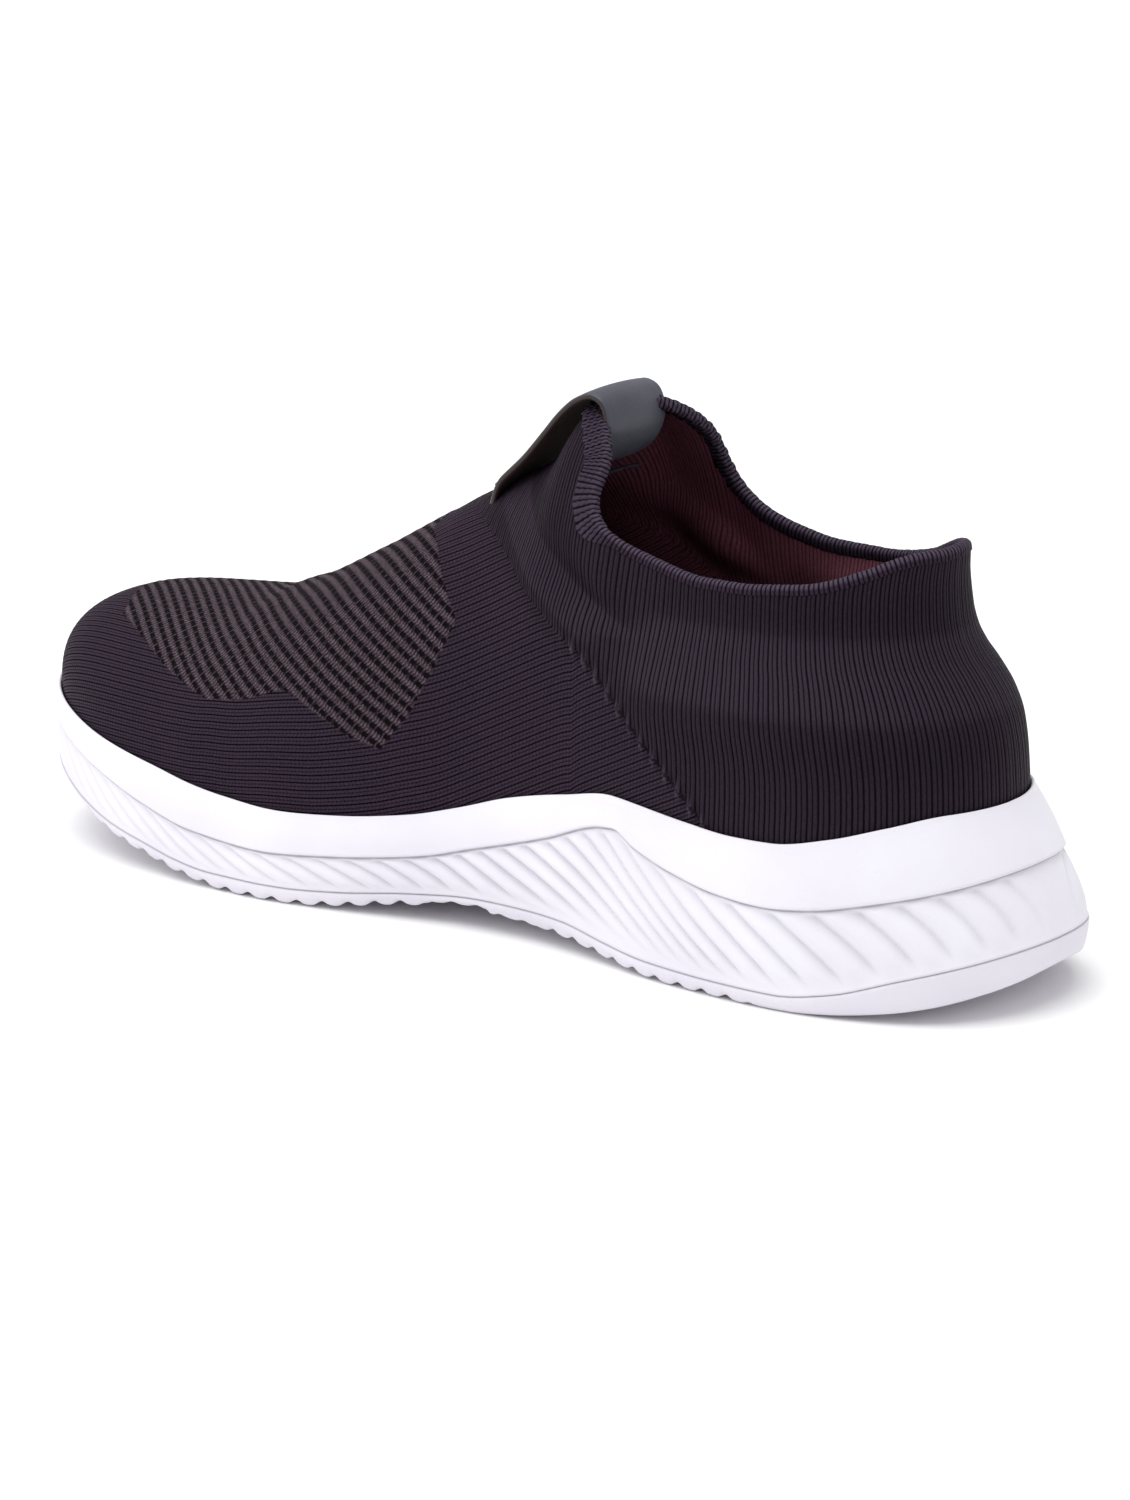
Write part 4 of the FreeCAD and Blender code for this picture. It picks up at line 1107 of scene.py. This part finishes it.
def flute(X, h, v):
    """height of the moulded flutes; h is depth under the groove, v is 0 at the outsole and 1 at the groove"""
    x0 = X + SLANT(X) * h * (1.0 + 0.30 * (0.5 - v)) + 1.6 * np.sin(math.pi * np.clip(v, 0, 1))
    ph = np.interp(x0, _xg, _kg)
    f = fract(ph)
    rise = np.sin(np.clip(f / 0.62, 0, 1) * math.pi / 2) ** 1.3
    wv = np.where(f < 0.62, rise, np.cos(np.clip((f - 0.62) / 0.38, 0, 1) * math.pi / 2) ** 0.8)
    env = sstep(0.02, 0.30, v) * (1 - 0.85 * sstep(0.93, 1.0, v))
    return 1.25 * AMP(X) * env * (wv - 0.55)


def groove_mean(x):
    k = np.linspace(-26, 26, 27)
    w_ = np.exp(-(k / 13.0) ** 2)
    return sum(zg(x + a) * b for a, b in zip(k, w_)) / w_.sum()


def midsole_rows(side, x, y, nx, ny, u):
    X = along(x, u)
    ZM = groove_mean(x)
    n = len(x)
    rows = []
    gr = []

    def lev(off, z, g=0.0):
        off = np.broadcast_to(off, (n,)).astype(float)
        rows.append(np.stack([x + nx * off, y + ny * off, np.broadcast_to(z, (n,))], 1))
        gr.append(np.broadcast_to(g, (n,)))
    ZO, ZG, ZF, ZB = zo(x), zg(x), zf(x), zbed(x)
    OO, OG = oo(x) - 0.2, og(x)
    for k in range(9):                      # underside, from the centre line out
        f = (k / 8.0) ** 0.8
        px, py = x + nx * (OO - 0.5), y + ny * (OO - 0.5)
        rows.append(np.stack([px, yc(px) + (py - yc(px)) * f, ZO + 0.05], 1))
        gr.append(np.zeros(n))
    # painted shade along the recessed joint with the outsole
    lev(OO - 0.12, ZO + 0.12, 0.6)
    lev(OO, ZO + 0.45, 0.2)
    NV = 40
    for k in range(1, NV + 1):
        v = k / NV
        z = ZO + 0.45 + (ZG - ZO - 0.9) * v
        h = ZM - z
        o = OO * (1 - v) + (OG - 0.75) * v + 0.55 * math.sin(math.pi * v) - 0.1
        fl = flute(X, h, np.full(n, v)) * sstep(1.0, 12.0, u - u.min()) * sstep(1.0, 12.0, u.max() - u)
        # painted shade in the flute hollows, set by how deep each hollow is
        lev(o + fl, z, np.clip(-fl * 0.45, 0, 0.45))
    # the groove rows are painted darker as shade
    lev(OG - 1.05, ZG - 0.28, 0.85)         # groove
    lev(OG - 1.15, ZG - 0.02, 1.0)
    lev(OG - 0.7, ZG + 0.16, 0.75)
    lev(OG - 0.25, ZG + 0.34, 0.2)
    lev(OG - 0.05, ZG + 0.7, 0.0)
    NB = 22
    for k in range(1, NB + 1):
        v = k / NB
        o = OG * (1 - v) + 1.35 * v + 0.55 * math.sin(math.pi * v) - 0.05 * (1 - v)
        lev(o, ZG + 0.7 + (ZF - 0.9 - ZG - 0.7) * v)
    for a in (25, 50, 75, 100, 130, 160):   # rolled lip
        r = math.radians(a)
        lev(0.8 + 0.5 * math.cos(r), ZF - 0.75 + 0.7 * math.sin(r))
    for k in range(1, 9):
        v = k / 8.0
        lev(0.3, ZF - 0.75 + (ZB - ZF + 0.75) * v)
    for k in range(1, 9):
        f = 1 - (k / 8.0)
        px, py = x + nx * 0.3, y + ny * 0.3
        rows.append(np.stack([px, yc(px) + (py - yc(px)) * f, ZB], 1))
        gr.append(np.zeros(n))
    return np.stack(rows, 1), {"groove": np.stack(gr, 1)}


MIDS = loft("midsole_foam_unit", midsole_rows, M["midsole"], 0.55)


def ground(px):
    return np.where(px < -92, heelz(px), zb(px))


def tread(px, py, edge):
    """depth of the tread cut at a point of the underside"""
    yy = py - yc(px)
    c = px * 1.0 + 7.0 * np.abs(yy) / 40.0 * np.sign(px + 20)
    fore = sstep(8, 16, px) * 1.0
    heel = sstep(-22, -32, px) * sstep(-135, -128, px)
    f1 = fract(c / 7.2)
    g1 = sstep(0.30, 0.22, np.abs(f1 - 0.5) * 1.0) * 0 + sstep(0.17, 0.11, np.abs(f1 - 0.5))
    m = np.abs(yy)
    split = np.maximum(sstep(1.6, 0.8, np.abs(m - 12.5)), sstep(1.4, 0.7, np.abs(m - 27)))
    d = np.maximum(g1, split * (1 - edge)) * (fore + heel)
    midcut = sstep(-7.5, -5.5, px) * sstep(11.5, 9.5, px)
    wedge = sstep(-84, -94, px)
    wave = (0.5 - 0.5 * np.cos(2 * math.pi * c / 7.2)) ** 1.6
    scal = wave * (1.15 * (fore + heel) + 0.6 * sstep(-34, -26, px) * sstep(16, 8, px)) * (1 - wedge)
    inner = 1.9 * d * (1 - 0.6 * wedge)
    return np.clip(inner * (1 - edge) + scal * edge + 1.1 * midcut, 0, 2.2)


def outsole_rows(side, x, y, nx, ny, u):
    n = len(x)
    rows, gr = [], []
    OB, OO, ZO = ob(x), oo(x), zo(x)
    NB = 56
    for k in range(NB + 1):
        f = k / NB
        ex, ey = x + nx * (OB - 0.5), y + ny * (OB - 0.5)
        py = yc(ex) + (ey - yc(ex)) * f
        t = tread(ex, py, np.full(n, float(sstep(0.86, 0.95, f))))
        rows.append(np.stack([ex, py, ground(ex) + t], 1))
        # painted shade in the tread cuts, deeper cuts darker
        gr.append(np.clip(t / 2.2, 0, 1) * 0.35)
    ex, ey = x + nx * OB, y + ny * OB
    te = tread(ex, ey, np.ones(n))
    gz = ground(ex)
    rows.append(np.stack([ex, ey, gz + np.maximum(te, 0.25) + 0.15], 1))
    gr.append(np.zeros(n))
    for k in range(1, 9):
        v = k / 8.0
        o = OB * (1 - v) + OO * v + 0.25 * math.sin(math.pi * v)
        px, py = x + nx * o, y + ny * o
        z0 = gz + te * (1 - v) + 0.4
        rows.append(np.stack([px, py, z0 + (ZO - 0.35 - z0) * v], 1))
        gr.append(np.full(n, 0.0))
    # painted shade along the outsole's recessed top edge
    rows.append(np.stack([x + nx * (OO - 0.25), y + ny * (OO - 0.25), ZO - 0.08], 1))
    gr.append(np.full(n, 0.7))
    for k in range(0, 9):
        f = 1 - k / 8.0
        px, py = x + nx * (OO - 0.8), y + ny * (OO - 0.8)
        rows.append(np.stack([px, yc(px) + (py - yc(px)) * f, ZO - 0.02], 1))
        gr.append(np.zeros(n))
    return np.stack(rows, 1), {"groove": np.stack(gr, 1)}


OUTS = loft("outsole_rubber_unit", outsole_rows, M["outsole"], 0.55)


def plate(name, inset, lo, hi, mat, step=1.4, crown=0.0):
    xa, ya, nxa, nya, ua = outline_matched(1, step)
    xb, yb, nxb, nyb, ub = outline_matched(-1, step)

    def rows_fn(side, x, y, nx, ny, u):
        rows = []

        def ring(off, f, dz, top):
            mid = 0.5 * (xa - nxa * off + xb - nxb * off)
            ex, ey = x - nx * off, y - ny * off
            px = mid + (ex - mid) * f
            z = zbed(px) + dz + (crown * (1 - f * f) if top else 0)
            rows.append(np.stack([px, yc(px) + (ey - yc(ex)) * f, z], 1))
        r = min(0.35, (hi - lo) * 0.45)
        for k in range(11):
            ring(inset + r, k / 10.0, lo, False)
        ring(inset + 0.3 * r, 1, lo + 0.3 * r, False)
        ring(inset, 1, lo + r, False)
        ring(inset, 1, hi - r, True)
        ring(inset + 0.3 * r, 1, hi - 0.3 * r, True)
        for k in range(11):
            ring(inset + r, 1 - k / 10.0, hi, True)
        rows = np.stack(rows, 1)
        L = np.broadcast_to(u[:, None], rows.shape[:2])
        return rows, {"groove": np.zeros(rows.shape[:2]), "along": np.array(L)}
    return loft(name, rows_fn, mat, step, ("groove", "along"), outline_matched)


BOARD = plate("board_sheet", 2.85, 0.15, 1.35, M["board"])
LINER = plate("insole_foam_pad", 4.05, 1.45, 5.85, M["foam_in"])
COVER = plate("insole_cloth_top", 4.05, 5.9, 6.6, M["cover"])


def seam_rows(side, x, y, nx, ny, u):
    n = len(x)
    rows = []
    k = 8
    tw = 0.09 * np.sin(2 * math.pi * u / 3.2)
    for a in range(k + 1):
        r = 2 * math.pi * a / k
        off = 3.37 + (0.46 + tw) * math.cos(r)
        z = zbed(x) + 1.85 + (0.36 + tw) * math.sin(r)
        rows.append(np.stack([x - nx * off, y - ny * off, z], 1))
    rows = np.stack(rows, 1)
    return rows, {"groove": np.zeros(rows.shape[:2]), "along": np.array(np.broadcast_to(u[:, None], rows.shape[:2]))}


SEAM = loft("strobel_thread", seam_rows, M["thread_w"], 0.9, ("groove", "along"))

# --- pull strap --------------------------------------------------------------------------------------
STRAP = [(16.6, 96.4), (14.7, 99.0), (12.6, 101.9), (10.4, 104.7), (6.2, 108.7), (0.2, 114.2), (-5.6, 120.6),
         (-11.4, 127.0), (-16.0, 130.6), (-20.4, 132.2), (-23.6, 131.2), (-25.6, 128.0),
         (-26.0, 124.4), (-24.8, 120.4), (-22.4, 116.8), (-19.6, 114.6), (-16.9, 113.9)]


def make_strap():
    r = np.array(STRAP, float)
    s = np.concatenate([[0], np.cumsum(np.hypot(np.diff(r[:, 0]), np.diff(r[:, 1])))])
    fx, fz = pchip(list(zip(s, r[:, 0]))), pchip(list(zip(s, r[:, 1])))
    n = 240
    u = np.linspace(0, s[-1], n)
    x, z = fx(u), fz(u)
    for _ in range(14):
        x[1:-1] = 0.5 * x[1:-1] + 0.25 * (x[2:] + x[:-2])
        z[1:-1] = 0.5 * z[1:-1] + 0.25 * (z[2:] + z[:-2])
    tx, tz = np.gradient(x), np.gradient(z)
    L = np.hypot(tx, tz)
    nx, nz = -tz / L, tx / L
    nx, nz = -nx, -nz
    up = np.where(np.arange(n) < 5, 1, 1)
    if nz[20] < 0:
        nx, nz = -nx, -nz
    W, T = 12.5, 0.8
    prof = []
    m = 30
    for k in range(m + 1):
        f = -1 + 2 * k / m
        prof.append((f * (W - 0.7), T, 0.0))
    for a in (60, 30, 0, -30, -60):
        q = math.radians(a)
        prof.append((W - 0.7 + 0.7 * math.cos(q), T * math.sin(q), 0.5 - 0.5 * math.sin(q)))
    for k in range(m + 1):
        f = 1 - 2 * k / m
        prof.append((f * (W - 0.7), -T, 1.0))
    for a in (-60, -30, 0, 30, 60):
        q = math.radians(a)
        prof.append((-(W - 0.7 + 0.7 * math.cos(q)), T * math.sin(q), 0.5 - 0.5 * math.sin(q)))
    prof = np.array(prof)
    y0 = yc(x)
    y = prof[None, :, 0] * np.ones((n, 1))
    lift = np.array(np.broadcast_to(prof[None, :, 1], y.shape))
    # the sewn front end follows the crown of the vamp; the bridge keeps a little of it
    xv = np.clip(x, -18, 30)[:, None] * np.ones_like(y)
    fall = (zr0(xv) - zf(xv)) * (1 - np.clip(1 - (y / 35.0) ** 2, 0, 1) ** (1 / nn(xv)))
    wgt = 0.20 + 0.78 * sstep(16, 5, u)[:, None]
    lift = lift - fall * (0.88 + 0.12 * sstep(18, 8, u))[:, None] * wgt
    # pressed line just inside each edge
    lift = lift - 0.10 * gauss(np.abs(y), 10.9, 0.5) * (prof[None, :, 1] > 0.5)
    X = x[:, None] + nx[:, None] * lift
    Z = z[:, None] + nz[:, None] * lift
    Y = y0[:, None] + y
    v = np.stack([X, Y, Z], -1)
    nv = len(prof)
    q = grid_faces(nv, n, close_u=True)
    vv = np.transpose(v, (1, 0, 2)).reshape(-1, 3)
    un = np.repeat(prof[:, 2], n)
    al = np.tile(u, nv)
    # end caps
    c0 = len(vv)
    vv = np.concatenate([vv, v[0].mean(0)[None], v[-1].mean(0)[None]])
    un = np.concatenate([un, [0.5, 0.5]])
    al = np.concatenate([al, [0, s[-1]]])
    tris = []
    for k in range(nv):
        k2 = (k + 1) % nv
        tris.append((c0, k2 * n, k * n))
        tris.append((c0 + 1, k * n + n - 1, k2 * n + n - 1))
    tris = np.array(tris)
    A, B, C, Dd = (vv[q[:, k]] for k in range(4))
    if (A * np.cross(B, C)).sum() + (A * np.cross(C, Dd)).sum() < 0:
        q, tris = q[:, ::-1], tris
    else:
        tris = tris[:, ::-1]
    ob_s = build("pull_strap", vv, q, tris, {"under": un, "along": al}, None, M["strap"])
    ob_s.data.materials.append(M["strap_under"])
    nf = len(ob_s.data.polygons)
    lv = np.zeros(len(ob_s.data.loops), np.int32)
    ob_s.data.loops.foreach_get("vertex_index", lv)
    st = np.zeros(nf, np.int32)
    ob_s.data.polygons.foreach_get("loop_start", st)
    ua = np.zeros(len(ob_s.data.vertices), np.float32)
    ob_s.data.attributes["under"].data.foreach_get("value", ua)
    ob_s.data.polygons.foreach_set("material_index", (ua[lv[st]] > 0.6).astype(np.int32))
    return ob_s


STR = make_strap()


def tube(path, rad, sides=8):
    p = np.array(path, float)
    t = np.gradient(p, axis=0)
    t /= np.linalg.norm(t, axis=1, keepdims=True)
    ref = np.array([0.3, 0.1, 1.0])
    a = np.cross(t, ref)
    a /= np.linalg.norm(a, axis=1, keepdims=True)
    b = np.cross(t, a)
    ang = np.arange(sides) * 2 * math.pi / sides
    v = p[:, None, :] + rad * (a[:, None, :] * np.cos(ang)[None, :, None] + b[:, None, :] * np.sin(ang)[None, :, None])
    n = len(p)
    q = []
    for i in range(n - 1):
        for j in range(sides):
            q.append((i * sides + j, i * sides + (j + 1) % sides, (i + 1) * sides + (j + 1) % sides, (i + 1) * sides + j))
    s = np.concatenate([[0], np.cumsum(np.linalg.norm(np.diff(p, axis=0), axis=1))])
    cap = []
    for i in (0, n - 1):
        for j in range(1, sides - 1):
            c = (i * sides, i * sides + j, i * sides + j + 1)
            cap.append(c if i == 0 else c[::-1])
    return v.reshape(-1, 3), np.array(q), np.array(cap), np.repeat(s, sides)


def make_tacks():
    vs, qs, ts, al, base = [], [], [], [], 0
    for (x, z, dx, dz, half_w) in ((9.3, 107.0, 0.73, -0.68, 10.6), (-20.5, 111.6, 1.0, 0.1, 9.5)):
        n = 240
        y = np.linspace(-half_w, half_w, n)
        zig = 0.75 * np.abs(fract(y / 1.1) * 2 - 1) * 2 - 0.75
        y0 = float(yc(x))
        xv = np.full_like(y, max(x, -18.0))
        fall = (zr0(xv) - zf(xv)) * (1 - np.clip(1 - (y / 35.0) ** 2, 0, 1) ** (1 / nn(xv)))
        crown = fall * (0.42 if x > 0 else 0.2)
        path = np.stack([x + dx * zig, y0 + y, z + dz * zig - crown], 1)
        v, q, c, s = tube(path, 0.27, 6)
        vs.append(v)
        qs.append(q + base)
        ts.append(c + base)
        al.append(s)
        base += len(v)
    return build("strap_stitching", np.concatenate(vs), np.concatenate(qs), np.concatenate(ts),
                 {"along": np.concatenate(al)}, None, M["thread"])


TACK = make_tacks()

# --- bodies, replaced nodes, slots ----------------------------------------------------------------------
for ob_ in (KM, KL, INF, MIDS, OUTS, BOARD, LINER, COVER, SEAM):
    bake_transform(ob_)
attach(RIMO, "rearfoot")
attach(PADL, "rearfoot")
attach(TACK, "rearfoot")
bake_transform(STR)

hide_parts("knit_upper_quarters", "knit_upper_toe", "knit_upper_flex_zone")
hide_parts("knit_upper_quarters", "knit_upper_toe", "knit_upper_flex_zone")
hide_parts("knit_upper_quarters", "knit_upper_toe", "knit_upper_flex_zone")
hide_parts("collar_rim")
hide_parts("heel_lining")
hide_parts("midsole_rearfoot", "midsole_forefoot")
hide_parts("outsole_rearfoot", "outsole_forefoot")
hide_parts("strobel_board_rearfoot", "strobel_board_forefoot")
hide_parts("strobel_seam_rearfoot", "strobel_seam_forefoot")
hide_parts("sockliner_foam_rearfoot", "sockliner_foam_forefoot")
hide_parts("sockliner_cover_rearfoot", "sockliner_cover_forefoot")
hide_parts("pull_tab_loop", "pull_tab_front_end", "pull_tab_rear_end")
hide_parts("pull_tab_stitching")


def node_object(name):
    o = bpy.data.objects.get(name)
    if o is None:
        o = [p for p in bpy.data.objects if p.get("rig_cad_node") == name][0]
    return o


for nm in ("heel_counter", "toe_puff"):
    o = node_object(nm)
    for sl in o.material_slots:
        sl.material = M["stiff"]


# --- floor, light, camera -----------------------------------------------------------------------------------
fm = Mat("floor_pale")
fm.color(fm.mixc(fm.step(fm.noise(3, 2), 0.3, 0.7), (0.93, 0.93, 0.93), (0.945, 0.945, 0.945)))
fm.rough(0.9)
fm.set(Specular_IOR_Level=0.1)
fme = bpy.data.meshes.new("floor")
S_ = 6.0
fme.from_pydata([(-S_, -S_, 0), (S_, -S_, 0), (S_, S_, 0), (-S_, S_, 0)], [], [(0, 1, 2, 3)])
fl = bpy.data.objects.new("floor", fme)
bpy.context.scene.collection.objects.link(fl)
fme.materials.append(fm.m)
fl.location.z = -0.0002

sc = bpy.context.scene
sc.view_settings.view_transform = "Standard"
sc.view_settings.look = "None"
w = bpy.data.worlds.new("studio")
sc.world = w
w.use_nodes = True
bg = w.node_tree.nodes["Background"]
bg.inputs[0].default_value = (1.0, 1.0, 1.0, 1)
bg.inputs[1].default_value = 0.66


def lamp(name, loc, at, size, power, size_y=None):
    d = bpy.data.lights.new(name, "AREA")
    d.shape = "RECTANGLE"
    d.size = size
    d.size_y = size_y or size
    d.energy = power
    o = bpy.data.objects.new(name, d)
    sc.collection.objects.link(o)
    o.location = loc
    o.rotation_euler = (Vector(at) - Vector(loc)).to_track_quat("-Z", "Y").to_euler()
    return o


def sun(name, direction, strength, angle):
    d = bpy.data.lights.new(name, "SUN")
    d.energy = strength
    d.angle = math.radians(angle)
    o = bpy.data.objects.new(name, d)
    sc.collection.objects.link(o)
    o.rotation_euler = Vector(direction).to_track_quat("-Z", "Y").to_euler()
    return o


sun("overhead", (-0.10, -0.16, -1.0), 2.0, 60)
lamp("fill_left", (1.0, 0.7, 0.6), (0.03, 0, 0.05), 0.6, 3.0)

cam_d = bpy.data.cameras.new("camera")
cam = bpy.data.objects.new("camera", cam_d)
sc.collection.objects.link(cam)
sc.camera = cam
a_, e_ = math.radians(35.2), math.radians(15.6)
dvec = Vector((math.sin(a_) * math.cos(e_), -math.cos(a_) * math.cos(e_), -math.sin(e_)))
tgt = Vector(row_pt(-26.3, 31.4, 48.6))
cam.location = tgt - dvec * 1.163
cam.rotation_euler = dvec.to_track_quat("-Z", "Y").to_euler()
cam_d.sensor_fit = "VERTICAL"
cam_d.sensor_height = 36.0
cam_d.lens = 4.146 * 1163 / 1500 * 36.0
cam_d.clip_start = 0.05
cam_d.clip_end = 30
cam_d.dof.use_dof = False
